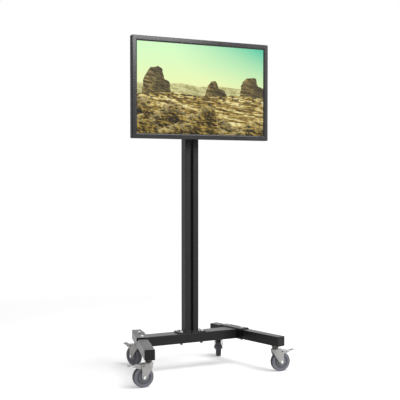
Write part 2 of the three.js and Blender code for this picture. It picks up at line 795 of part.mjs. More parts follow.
for (const [name, side] of [['left', -1], ['right', 1]]) {
  const [x, half, inner] = [side * railSpacing / 2, railWidth / 2, railWidth / 2 - railWall];
  const [front, back] = [railFront, railFront + railDepth];
  const profile = polygon([
    [x - half, front], [x + half, front], [x + half, back], [x + inner, back],
    [x + inner, front + railWall], [x - inner, front + railWall], [x - inner, back], [x - half, back],
  ]);
  piece(stand, `rail_${name}`,
    prism(profile, 'z', screenHeight - railHeight / 2, screenHeight + railHeight / 2), blackPaint);
}

// Display: bezel, panel, and a back shell with a raised housing, vents and a power inlet

// A block whose rectangle changes evenly from one place on y to the next
function frustum(width0, height0, y0, width1, height1, y1) {
  const ring = (w, h, y) => [[-w, -h], [w, -h], [w, h], [-w, h]]
    .flatMap(([x, z]) => [x / 2, y, screenHeight + z / 2]);
  const geometry = new THREE.BufferGeometry();
  const positions = [...ring(width0, height0, y0), ...ring(width1, height1, y1)];
  geometry.setAttribute('position', new THREE.Float32BufferAttribute(positions, 3));
  const sides = [0, 1, 2, 3].flatMap((i) => {
    const j = (i + 1) % 4;
    return [i, j + 4, j, i, i + 4, j + 4];
  });
  geometry.setIndex([0, 1, 2, 0, 2, 3, 4, 6, 5, 4, 7, 6, ...sides]);
  return solid(geometry);
}

const openingWidth = displayWidth - 2 * bezelWidth;
const openingHeight = displayHeight - 2 * bezelWidth;
const seatWidth = openingWidth + 2 * lipOverlap;
const seatHeight = openingHeight + 2 * lipOverlap;

// The display's outline, drawn in by the given amount
const displayOutline = (inset) => rectangle(
  displayWidth - 2 * inset, displayHeight - 2 * inset, displayCorner - inset, 0, screenHeight);

function bezel() {
  const lipBack = bezelFront + bezelLip;
  return cut(
    prism(displayOutline(0), 'y', bezelFront, bezelBack, 2),
    block(-openingWidth / 2, openingWidth / 2, bezelFront - overrun, bezelBack + overrun,
      screenHeight - openingHeight / 2, screenHeight + openingHeight / 2),
    frustum(openingWidth + 2 * lipSlope, openingHeight + 2 * lipSlope, bezelFront - seat,
      openingWidth, openingHeight, lipBack),
    block(-seatWidth / 2, seatWidth / 2, lipBack, bezelBack + overrun,
      screenHeight - seatHeight / 2, screenHeight + seatHeight / 2),
  );
}
piece(stand, 'display_bezel', bezel(), casing);

const panelFront = bezelFront + bezelLip + seat;
const panelHalf = [seatWidth / 2 - panelPlay, seatHeight / 2 - panelPlay];
const panel = block(-panelHalf[0], panelHalf[0], panelFront, panelFront + panelThickness,
  screenHeight - panelHalf[1], screenHeight + panelHalf[1]);
piece(stand, 'display_panel', panel, screenGlass);

function vents() {
  const pitch = housingWidth / ventsAcross;
  const half = pitch / 4;
  return [-1, 1].flatMap((side) => [...Array(ventCount).keys()].map((i) => {
    const x = side * ventShare * housingWidth + (i - (ventCount - 1) / 2) * pitch;
    const z = screenHeight + ventRise;
    return block(x - half, x + half, housingBack - shellWall - overrun,
      housingBack + overrun, z - ventHeight / 2, z + ventHeight / 2);
  }));
}

const inletPlace = [-inletOffset, screenHeight - inletDrop];
function inletBlock(margin, from, to) {
  const [x, z] = inletPlace;
  const [w, h] = [inletWidth / 2 + margin, inletHeight / 2 + margin];
  return block(x - w, x + w, from, to, z - h, z + h);
}

function backShell() {
  const wall = 2 * shellWall;
  const slope = 2 * housingSlope;
  const outer = join(
    prism(displayOutline(0), 'y', shellFront, shellBack, 2),
    frustum(housingWidth, housingHeight, shellBack - shellWall / 2,
      housingWidth - slope, housingHeight - slope, housingBack),
  );
  const inner = join(
    prism(displayOutline(shellWall), 'y', shellFront - overrun, shellBack - shellWall, 1),
    frustum(housingWidth - wall, housingHeight - wall, shellBack - 1.5 * shellWall,
      housingWidth - slope - wall, housingHeight - slope - wall, housingBack - shellWall),
  );
  const pocketFront = housingBack - inletDepth;
  const walled = join(
    cut(outer, inner),
    inletBlock(inletWall, pocketFront - inletWall, housingBack - shellWall / 2),
  );
  return cut(walled, inletBlock(0, pocketFront, housingBack + overrun), ...vents());
}
piece(stand, 'display_back', backShell(), casing);

function powerInlet() {
  const front = housingBack - inletDepth + seat;
  const floor = front + inletWall;
  const [x, z] = inletPlace;
  const pins = [-1, 0, 1].map((step) =>
    block(x + step * inletPinPitch - inletPin / 2, x + step * inletPinPitch + inletPin / 2,
      floor - inletWall / 2, housingBack - inletWall, z - inletPin, z + inletPin));
  return join(
    cut(inletBlock(-seat, front, housingBack), inletBlock(-inletWall, floor, housingBack + overrun)),
    ...pins,
  );
}
piece(stand, 'power_inlet', powerInlet(), blackPlastic);

// The origin goes to the floor under the middle of the stand
const bounds = new THREE.Box3().setFromObject(centred);
const middle = bounds.getCenter(new THREE.Vector3());
stand.position.set(-middle.x, -middle.y, -bounds.min.z);

export default centred;
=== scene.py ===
"""A mobile stand for a flat display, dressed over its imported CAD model.

Metres, +Z up, the screen faces -Y. Each section makes the pieces of one assembly: a piece rides
on the CAD body that carries it and stands for the CAD nodes that it covers.
"""
from math import asin, atan2, copysign, cos, hypot, pi, radians, sin

import json

import bmesh
import bpy
from mathutils import Matrix, Vector


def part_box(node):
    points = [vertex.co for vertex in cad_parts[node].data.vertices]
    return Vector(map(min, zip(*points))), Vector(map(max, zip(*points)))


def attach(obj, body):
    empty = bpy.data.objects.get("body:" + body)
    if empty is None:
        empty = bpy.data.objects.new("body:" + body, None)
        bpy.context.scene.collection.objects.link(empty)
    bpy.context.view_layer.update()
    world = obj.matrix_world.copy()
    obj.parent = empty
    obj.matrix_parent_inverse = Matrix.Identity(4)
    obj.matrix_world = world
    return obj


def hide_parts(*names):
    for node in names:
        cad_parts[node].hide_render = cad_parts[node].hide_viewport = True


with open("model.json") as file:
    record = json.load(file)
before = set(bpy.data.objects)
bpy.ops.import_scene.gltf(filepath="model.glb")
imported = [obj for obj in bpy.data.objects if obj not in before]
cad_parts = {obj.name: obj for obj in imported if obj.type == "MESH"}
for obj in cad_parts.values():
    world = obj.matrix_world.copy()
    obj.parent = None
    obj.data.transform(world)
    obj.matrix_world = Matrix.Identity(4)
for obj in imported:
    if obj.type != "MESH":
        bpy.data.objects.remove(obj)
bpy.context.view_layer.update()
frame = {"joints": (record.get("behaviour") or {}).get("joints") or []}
MM = 0.001
QUARTER = pi / 2


# Places taken from the frame

def centre(node):
    lo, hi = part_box(node)
    return (lo + hi) / 2


COLUMN = centre("column_cap")            # x and y of the column's and the crossbeam's axis
BEAM_LO, BEAM_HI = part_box("crossbeam")
LEG_BOTTOM, LEG_TOP = BEAM_LO.z, BEAM_HI.z
LEG_SIZE = LEG_TOP - LEG_BOTTOM
LEG_MIDDLE = (LEG_BOTTOM + LEG_TOP) / 2
SCREEN = centre("display_panel")
PIVOT = centre("pivot_pin")
JOINTS = {joint["name"]: joint for joint in frame["joints"]}
PLACES = ("front_left", "front_right", "rear_left", "rear_right")
SIDES = {"left": -1, "right": 1}

# Sizes of the base
BOLT_FORWARD = 42 * MM      # from the crossbeam's axis to the front joint bolt
CAP_FLANGE = 3 * MM
LEG_CORNER = 3 * MM
SADDLE_SHEET = 5 * MM
SADDLE_FORWARD = 66 * MM
SADDLE_REAR = 100 * MM
SADDLE_LIP = 12 * MM        # from the top of the leg down to the lip's edge
SEAT = 0.2 * MM             # clearance between fastened pieces
TURN_GAP = 0.3 * MM         # clearance beside a piece that slides or turns
BOLT_HOLE = 4.3 * MM
EDGE = 0.5 * MM             # rounding of a cut edge
BEAM_CORNER = 3 * MM
HEX = 7.5 * MM
BOLT_HEAD = 5.3 * MM
WASHER = 8.5 * MM
WASHER_SHEET = 1.6 * MM
NUT_HEIGHT = 6.5 * MM
THREAD = 4 * MM
THREAD_END = 3 * MM
COLUMN_CORNER = 2 * MM
WELD = 3.2 * MM

# Sizes of the casters, with the wheel trailing along the local +X
TRAIL = 28 * MM
FORK_HALF = 22 * MM
FORK_SHEET = 3 * MM
FORK_EYE = 11.5 * MM
FORK_SKIRT = 9 * MM
FORK_BEND = 3.6 * MM        # outer bend radius where the crown turns into the skirts
TYRE_HALF = 13 * MM
TYRE_INNER = 34 * MM
PEDAL_SHEET = 2.4 * MM
PEDAL_HALF = 17 * MM
PEDAL_TIP_HALF = 13 * MM
PEDAL_BEND = 3 * MM

# Sizes of the tilt head and of the display's frame
LOCK_DROP = 30 * MM         # from the pivot down to the stud of the tilt lock
PIVOT_HOLE = 5.3 * MM
RIM = 24                    # width of the frame round the screen, in millimetres
LIP = 4                     # depth of the frame's lip in front of the panel, in millimetres


# Mesh helpers

def linked(name, data):
    """An object of a mesh, curve, lamp or camera, put into the scene."""
    obj = bpy.data.objects.new(name, data)
    bpy.context.scene.collection.objects.link(obj)
    return obj


def piece(name, mesh, body, paint, node=None, slot=None, sharp=32, bevel=0.0):
    """Makes an object of a mesh, lets it ride on its body and stand for the CAD node it covers."""
    obj = linked(name, mesh)
    mesh.materials.append(paint.material)
    for face in mesh.polygons:
        face.use_smooth = True
    mesh.set_sharp_from_angle(angle=radians(sharp))
    if bevel:
        rounded_edges = obj.modifiers.new("Edges", "BEVEL")
        rounded_edges.width = bevel
        rounded_edges.segments = 2
        rounded_edges.limit_method = "ANGLE"
        rounded_edges.angle_limit = radians(38)
        rounded_edges.harden_normals = True
    even = obj.modifiers.new("Normals", "WEIGHTED_NORMAL")
    even.keep_sharp = True
    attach(obj, body)
    if node:
        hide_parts(node)
    slot or paint.slot
    return obj


def repaint(obj, paint, chosen):
    """Gives a second material to the faces that a test picks."""
    obj.data.materials.append(paint.material)
    for face in obj.data.polygons:
        if chosen(face):
            face.material_index = 1


def stored(bm, name="mesh"):
    mesh = bpy.data.meshes.new(name)
    bm.to_mesh(mesh)
    bm.free()
    return mesh


def clean(bm):
    """Merges doubled points, drops empty faces and turns the others outward."""
    bmesh.ops.remove_doubles(bm, verts=bm.verts, dist=1e-6)
    bmesh.ops.dissolve_degenerate(bm, edges=bm.edges, dist=1e-7)
    bmesh.ops.recalc_face_normals(bm, faces=bm.faces)


def mesh_of(bm, matrix=None):
    """The mesh of a cleaned bmesh, moved into place."""
    clean(bm)
    if matrix is not None:
        bm.transform(matrix)
    return stored(bm)


def merged(*meshes):
    """One mesh of several that touch and belong together, such as a head on its washer."""
    bm = bmesh.new()
    for mesh in meshes:
        bm.from_mesh(mesh)
        bpy.data.meshes.remove(mesh)
    return stored(bm)


def evaluated(obj):
    """The mesh that an object's curve or modifiers make."""
    graph = bpy.context.evaluated_depsgraph_get()
    return bpy.data.meshes.new_from_object(obj.evaluated_get(graph))


def cut_out(mesh, *cutters):
    """A mesh with others taken out of it."""
    solid, tool = linked("solid", mesh), linked("tool", merged(*cutters))
    taken = solid.modifiers.new("Cut", "BOOLEAN")
    taken.operation, taken.solver, taken.object = "DIFFERENCE", "EXACT", tool
    result = evaluated(solid)
    for obj in (solid, tool):
        spare = obj.data
        bpy.data.objects.remove(obj)
        bpy.data.meshes.remove(spare)
    result.materials.clear()
    return result


def mm(base, *points, reach=0.0):
    """Profile points in millimetres as (radius, height) in metres, from a base height and radius."""
    return [(reach + radius * MM, base + height * MM) for radius, height in points]


def rod(radius, low, high):
    """The profile of a plain round bar."""
    return [(0, low), (radius, low), (radius, high), (0, high)]


def mirrored(profile):
    """A closed profile from the half below height 0."""
    return profile + [(radius, -height) for radius, height in reversed(profile)] + profile[:1]


def spread(start, end, steps):
    """Evenly spaced numbers, both ends included."""
    return [start + (end - start) * i / steps for i in range(steps + 1)]


def arc(x, y, radius, start, end, steps):
    """Points on an arc, both ends included, with the angles in radians."""
    return [
        (x + radius * cos(angle), y + radius * sin(angle))
        for angle in spread(start, end, steps)
    ]


def circle(radius, x=0.0, y=0.0, steps=24):
    return arc(x, y, radius, 0, 2 * pi, steps)[:-1]


def rounded(width, height, corner, x=0.0, y=0.0, steps=5):
    """The outline of a rectangle with rounded corners about a middle."""
    w, h = width / 2 - corner, height / 2 - corner
    corners = ((w, h, 0), (-w, h, 1), (-w, -h, 2), (w, -h, 3))
    return [
        point
        for cx, cy, turn in corners
        for point in arc(x + cx, y + cy, corner, turn * QUARTER, (turn + 1) * QUARTER, steps)
    ]


def along(axis, origin=(0, 0, 0)):
    """A matrix that turns the local z onto +x or -y: outlines are (y, z) for x, (x, z) for y."""
    turns = {
        "x": Matrix(((0, 0, 1), (1, 0, 0), (0, 1, 0))),
        "y": Matrix(((1, 0, 0), (0, 0, -1), (0, 1, 0))),
    }
    return Matrix.Translation(origin) @ turns[axis].to_4x4()


def facing(axis, sign, place, base=Matrix()):
    """A matrix at a place whose local z points along x or y, or against it where the sign is -1."""
    turn = {"x": ("Y", sign), "y": ("X", -sign)}[axis]
    return base @ Matrix.Translation(place) @ Matrix.Rotation(turn[1] * QUARTER, 4, turn[0])


def loft(rings, matrix=None, caps=(True, True)):
    """Skins a row of outlines, each a list of 3-D points, all with the same number of points."""
    bm = bmesh.new()
    rows = [[bm.verts.new(point) for point in ring] for ring in rings]
    count = len(rows[0])
    for lower, upper in zip(rows, rows[1:]):
        for i in range(count):
            j = (i + 1) % count
            bm.faces.new((lower[i], lower[j], upper[j], upper[i]))
    if caps[0]:
        bm.faces.new(list(reversed(rows[0])))
    if caps[1]:
        bm.faces.new(rows[-1])
    return mesh_of(bm, matrix)


def at_height(outline, z):
    return [(x, y, z) for x, y in outline]


def at_depth(outline, y):
    return [(x, y, z) for x, z in outline]


def rounded_bar(width, height, corner, low, high, matrix=None, edge=EDGE):
    """A bar of rounded-rectangle section with eased ends, drawn along the local z."""
    rings = []
    for inset, z in ((edge, low), (0.3 * edge, low + 0.3 * edge), (0, low + edge),
                     (0, high - edge), (0.3 * edge, high - 0.3 * edge), (edge, high)):
        outline = rounded(width - 2 * inset, height - 2 * inset, corner - inset)
        rings.append(at_height(outline, z))
    return loft(rings, matrix)


def bar_in(node, corner, edge, low=None):
    """A rounded upright bar that fills a CAD node's box."""
    lo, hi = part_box(node)
    middle = Matrix.Translation(((lo.x + hi.x) / 2, (lo.y + hi.y) / 2, 0))
    return rounded_bar(hi.x - lo.x, hi.y - lo.y, corner, low or lo.z, hi.z, middle, edge)


def plate(loops, low, high, matrix=None, edge=EDGE):
    """A plate between two heights: the first loop is its outline and the others are holes."""
    curve = bpy.data.curves.new("plate", "CURVE")
    curve.dimensions = "2D"
    curve.fill_mode = "BOTH"
    for loop in loops:
        spline = curve.splines.new("POLY")
        spline.points.add(len(loop) - 1)
        for point, (x, y) in zip(spline.points, loop):
            point.co = (x, y, 0, 1)
        spline.use_cyclic_u = True
    curve.extrude = (high - low) / 2 - edge
    curve.bevel_depth = edge
    curve.bevel_resolution = 1
    curve.offset = -edge
    obj = linked("plate", curve)
    mesh = evaluated(obj)
    bpy.data.objects.remove(obj)
    bpy.data.curves.remove(curve)
    bm = bmesh.new()
    bm.from_mesh(mesh)
    bpy.data.meshes.remove(mesh)
    bm.transform(Matrix.Translation((0, 0, (low + high) / 2)))
    return mesh_of(bm, matrix)


def face_plate(loops, front, back, edge=EDGE):
    """An upright plate between two y values, from (x, z) loops."""
    return plate(loops, -back, -front, along("y"), edge)    # its local z runs along -Y


def turned(profile, matrix=None, steps=48):
    """A turned solid of (radius, height) points that end on the axis or where they began."""
    bm = bmesh.new()
    rows = []
    for radius, z in profile:
        if radius < 1e-9:
            rows.append([bm.verts.new((0, 0, z))] * steps)
        else:
            rows.append([bm.verts.new((x, y, z)) for x, y in circle(radius, steps=steps)])
    for lower, upper in zip(rows, rows[1:]):
        for i in range(steps):
            j = (i + 1) % steps
            corners = [lower[i], lower[j], upper[j], upper[i]]
            distinct = list(dict.fromkeys(corners))     # a row on the axis repeats its one point
            if len(distinct) > 2:
                bm.faces.new(distinct)
    return mesh_of(bm, matrix)


def eased(profile, radius, steps=3):
    """Rounds every corner of a (radius, height) profile apart from its two ends."""
    points = [Vector(point) for point in profile]
    result = [tuple(points[0])]
    for before, here, after in zip(points, points[1:], points[2:]):
        back, on = before - here, after - here
        reach = min(radius, back.length * 0.45, on.length * 0.45)
        start, end = here + back.normalized() * reach, here + on.normalized() * reach
        for i in range(steps + 1):
            t = i / steps
            result.append(tuple(start * (1 - t) ** 2 + here * 2 * t * (1 - t) + end * t ** 2))
    result.append(tuple(points[-1]))
    return result


def pressed(path, bend, sheet, matrix=None):
    """A pressed sheet over the wheel, as the outer skin of a channel that is then thickened.

    The path runs along the skin's left edge as (x, y, inward x, inward y, low z, high z), and
    the right half mirrors it across y = 0.
    """
    bm = bmesh.new()
    rows = []
    columns = 8
    end_x = span = None
    for x, y, nx, ny, low, high in path:
        foot = high - bend
        side = [(x, y, z) for z in spread(low, foot, 4)[:-1]]
        for angle in spread(0, QUARTER, 5):
            inset = bend * (1 - cos(angle))
            side.append((x + nx * inset, y + ny * inset, foot + bend * sin(angle)))
        edge = side[-1]
        if edge[0] != end_x:        # rows across a square end share the columns of the first
            end_x, span = edge[0], edge[1]
        top = [
            (edge[0], max(-edge[1], min(edge[1], span * (1 - 2 * i / columns))), edge[2])
            for i in range(1, columns)
        ]
        other = [(px, -py, pz) for px, py, pz in reversed(side)]
        rows.append([bm.verts.new(point) for point in side + top + other])
    for near, far in zip(rows, rows[1:]):
        for i in range(len(near) - 1):
            bm.faces.new((near[i], near[i + 1], far[i + 1], far[i]))
    clean(bm)
    highest = max(bm.faces, key=lambda face: face.calc_center_median().z)
    if highest.normal.z < 0:
        bmesh.ops.reverse_faces(bm, faces=bm.faces)
    bm.normal_update()
    # The sheet's inner skin, then the rim that joins the two
    shells = {vert: vert.co - vert.normal * sheet for vert in bm.verts}
    rim = [edge for edge in bm.edges if edge.is_boundary]
    outer = list(bm.faces)
    inner = {vert: bm.verts.new(place) for vert, place in shells.items()}
    for face in outer:
        bm.faces.new([inner[vert] for vert in reversed(face.verts)])
    for edge in rim:
        face = edge.link_faces[0]
        order = [loop.vert for loop in face.loops]
        a, b = edge.verts
        if order[(order.index(a) + 1) % len(order)] is not b:
            a, b = b, a
        bm.faces.new((b, a, inner[a], inner[b]))
    return mesh_of(bm, matrix)


def hex_head(radius, low, high, matrix=None, turn=0.0):
    """A hexagonal head or nut whose corners are turned off towards the top."""
    steps = 24
    sixth = pi / 6
    flat = radius * cos(sixth)
    cut = (radius - flat) * 0.9

    def outline(z, limit):
        points = []
        for angle in spread(0, 2 * pi, steps)[:-1]:
            sector = (angle + sixth) % (2 * sixth) - sixth
            reach = min(flat / cos(abs(sixth - abs(sector))), limit)
            points.append((reach * cos(angle + turn), reach * sin(angle + turn), z))
        return points

    return loft([
        outline(low, radius), outline(high - cut * 0.6, radius),
        outline(high, flat * 0.985), outline(high, flat * 0.7),
    ], matrix)


# Materials

def add_node(tree, kind, inputs=None, **settings):
    """Adds a shader node. Its inputs are numbers, colours or the outputs of other nodes."""
    made = tree.nodes.new("ShaderNode" + kind)
    for name, value in settings.items():
        setattr(made, name, value)
    for name, value in (inputs or {}).items():
        socket = made.inputs[name]
        if isinstance(value, bpy.types.NodeSocket):
            tree.links.new(value, socket)
        elif socket.type == "RGBA":
            socket.default_value = (*value, 1)
        else:
            socket.default_value = value
    return made


class Paint:
    """One material with the slot it belongs to, and short ways to add nodes to it."""

    def __init__(self, name, slot, roughness=0.5, colour=(0.5, 0.5, 0.5), **sockets):
        self.slot = slot
        self.material = bpy.data.materials.new(name)
        self.material.use_nodes = True
        self.tree = self.material.node_tree
        self.shader = self.tree.nodes["Principled BSDF"]
        self.shader.inputs["Base Color"].default_value = (*colour, 1)
        self.shader.inputs["Roughness"].default_value = roughness
        for socket, value in sockets.items():
            self.shader.inputs[socket.replace("_", " ")].default_value = value

    def node(self, kind, inputs=None, **settings):
        return add_node(self.tree, kind, inputs, **settings)

    def link(self, output, socket):
        self.tree.links.new(output, self.shader.inputs[socket])

    def place(self):
        return self.node("TexCoord").outputs["Object"]

    def noise(self, scale, detail=4.0, roughness=0.55, vector=None):
        return self.node("TexNoise", {
            "Vector": vector or self.place(), "Scale": scale, "Detail": detail,
            "Roughness": roughness,
        }).outputs["Fac"]

    def ramp(self, factor, stops):
        """A run of colours or of numbers over (position, value) stops."""
        made = self.node("ValToRGB", {"Fac": factor})
        elements = made.color_ramp.elements
        while len(elements) < len(stops):
            elements.new(0.5)
        for element, (position, colour) in zip(elements, stops):
            element.position = position
            element.color = (*colour, 1) if hasattr(colour, "__len__") else (colour,) * 3 + (1,)
        return made.outputs["Color"]

    def math(self, operation, first, second=0.0, third=0.0, clamp=False):
        inputs = {0: first, 1: second, 2: third}
        return self.node("Math", inputs, operation=operation, use_clamp=clamp).outputs[0]

    def mix(self, factor, first, second):
        inputs = {0: factor, 6: first, 7: second}
        return self.node("Mix", inputs, data_type="RGBA").outputs[2]


def worn(name, slot, dark, light, roughnesses, grain, patch, relief, **sockets):
    """A finish whose colour and roughness vary over patches, with a fine grain in relief.

    Patch and grain are the scales of the two noises, and relief is the grain's depth in metres.
    """
    paint = Paint(name, slot, **sockets)
    blotches = paint.noise(patch, 5.0, 0.6)
    paint.link(paint.ramp(blotches, ((0.32, dark), (0.68, light))), "Base Color")
    paint.link(paint.ramp(blotches, ((0.3, roughnesses[0]), (0.7, roughnesses[1]))), "Roughness")
    bump = {"Height": paint.noise(grain, 3.0, 0.6), "Distance": relief, "Strength": 1.0}
    paint.link(paint.node("Bump", bump).outputs["Normal"], "Normal")
    return paint


# Black powder coat: a fine orange-peel skin with small differences in gloss
COAT = worn("powder_coat", "black_paint", (0.004, 0.004, 0.0042), (0.006, 0.006, 0.0063),
            (0.25, 0.33), 900.0, 9.0, 0.00003, Specular_IOR_Level=0.26)
# Dull paint: painted shade on the faces inside the column's slot, and on the ends of the pedal pins
SLOT_SHADE_AND_DULL = worn("dull_coat_and_slot_shade", "black_steel", (0.006, 0.006, 0.0062), (0.009, 0.009, 0.0093),
            (0.7, 0.85), 900.0, 20.0, 0.00004, Specular_IOR_Level=0.12)
# The column's paint, a little flatter than the base's
SATIN = worn("satin_coat", "black_paint", (0.009, 0.009, 0.0093), (0.012, 0.012, 0.0125),
             (0.44, 0.52), 900.0, 9.0, 0.00004, Specular_IOR_Level=0.24)
# Moulded knobs, caps, the guide and the body of the power inlet
PLASTIC = worn("black_plastic", "black_plastic", (0.005, 0.005, 0.0053), (0.008, 0.008, 0.0084),
               (0.42, 0.55), 1400.0, 14.0, 0.00006, Specular_IOR_Level=0.25)
# Zinc-plated pressed steel, with dull patches
ZINC = worn("bright_zinc", "bright_zinc", (0.328, 0.323, 0.316), (0.383, 0.378, 0.369),
            (0.26, 0.36), 1600.0, 40.0, 0.00003, Metallic=0.35)
# Bolts, nuts, studs and rivets, the screws behind the display and the inlet's pins
BOLT = worn("bolt_steel", "bright_zinc", (0.70, 0.70, 0.69), (0.86, 0.86, 0.85),
            (0.18, 0.30), 2200.0, 120.0, 0.00003, Metallic=0.9)
# Dark steel: swivel heads, the pedals' pins, pads and ribs, case screws; painted shade on the
# undersides of bolts
STEEL_AND_UNDER_SHADE = worn("dark_steel_and_under_shade", "black_steel", (0.075, 0.073, 0.072), (0.140, 0.136, 0.132),
            (0.24, 0.36), 1500.0, 80.0, 0.00004, Metallic=0.8)
# Grey rubber on the tyre's sides, with a fine moulding grain and a faint bloom
RUBBER = worn("tyre_rubber", "grey_rubber", (0.151, 0.153, 0.181), (0.198, 0.200, 0.234),
              (0.62, 0.8), 1300.0, 45.0, 0.00008)
# The tread, darker and rougher than the sides
TREAD = worn("tread_rubber", "grey_rubber", (0.050, 0.050, 0.057), (0.085, 0.085, 0.096),
             (0.7, 0.88), 700.0, 60.0, 0.00014)
# The wheel's moulded hub
HUB = worn("hub_plastic", "grey_hub", (0.110, 0.115, 0.130), (0.147, 0.152, 0.170),
           (0.42, 0.55), 1500.0, 50.0, 0.00005)
# The display's frame: dark grey plastic with a fine spark-eroded grain
CASE = worn("casing", "casing", (0.0163, 0.0152, 0.0171), (0.0215, 0.0200, 0.0225),
            (0.18, 0.26), 1500.0, 6.0, 0.000008, Specular_IOR_Level=0.34)
# The same plastic on the frame's outer sides, with a coarser, duller grain
MATTE = worn("casing_matte", "casing", (0.014, 0.0135, 0.0145), (0.020, 0.0190, 0.0205),
             (0.6, 0.72), 900.0, 8.0, 0.00006, Specular_IOR_Level=0.14)
# The rear shell's plastic: mid sheen over a coarse grain
REAR = worn("casing_rear", "casing", (0.019, 0.0185, 0.0195), (0.026, 0.0252, 0.0265),
            (0.42, 0.52), 1000.0, 7.0, 0.00006, Specular_IOR_Level=0.3)
# Painted shade on the floor of the vents, and the black border of the screen
BLACK_AND_VENT_SHADE = worn("black_and_vent_shade", "black_plastic", (0.004, 0.004, 0.004), (0.010, 0.010, 0.010),
            (0.7, 0.9), 900.0, 30.0, 0.00005)


# Skylines of the screen's picture as (across, height), both from 0 to 1
HILLS = (
    (0.0, 0.55), (0.14, 0.53), (0.33, 0.565), (0.47, 0.53), (0.63, 0.55), (0.78, 0.53), (1.0, 0.54))
STACKS = (
    (0.0, 0.42), (0.035, 0.44), (0.05, 0.60), (0.075, 0.68), (0.10, 0.72), (0.16, 0.735), (0.19, 0.71),
    (0.205, 0.60), (0.245, 0.57), (0.26, 0.44), (0.40, 0.42), (0.52, 0.43), (0.545, 0.56), (0.57, 0.60),
    (0.61, 0.61), (0.63, 0.53), (0.68, 0.50), (0.70, 0.43), (0.80, 0.44), (0.83, 0.62), (0.86, 0.66),
    (0.93, 0.665), (0.96, 0.57), (1.0, 0.55))
PLAIN = (
    (0.0, 0.43), (0.3, 0.46), (0.5, 0.42), (0.75, 0.45), (1.0, 0.43))
BOULDERS_BEHIND = (
    (0.0, 0.38), (0.04, 0.40), (0.09, 0.36), (0.115, 0.25), (0.16, 0.24), (0.20, 0.31), (0.27, 0.34),
    (0.34, 0.32), (0.38, 0.21), (0.42, 0.23), (0.47, 0.20), (0.56, 0.10), (0.60, 0.16), (0.64, 0.18),
    (0.70, 0.16), (0.76, 0.08), (0.90, 0.05), (1.0, 0.06))
BOULDERS_BEFORE = (
    (0.0, 0.20), (0.06, 0.21), (0.13, 0.15), (0.17, 0.05), (0.26, 0.10), (0.33, 0.13), (0.42, 0.12),
    (0.46, 0.25), (0.50, 0.34), (0.56, 0.36), (0.60, 0.30), (0.63, 0.09), (0.72, 0.03), (0.80, 0.03),
    (0.86, 0.13), (0.91, 0.17), (1.0, 0.15))


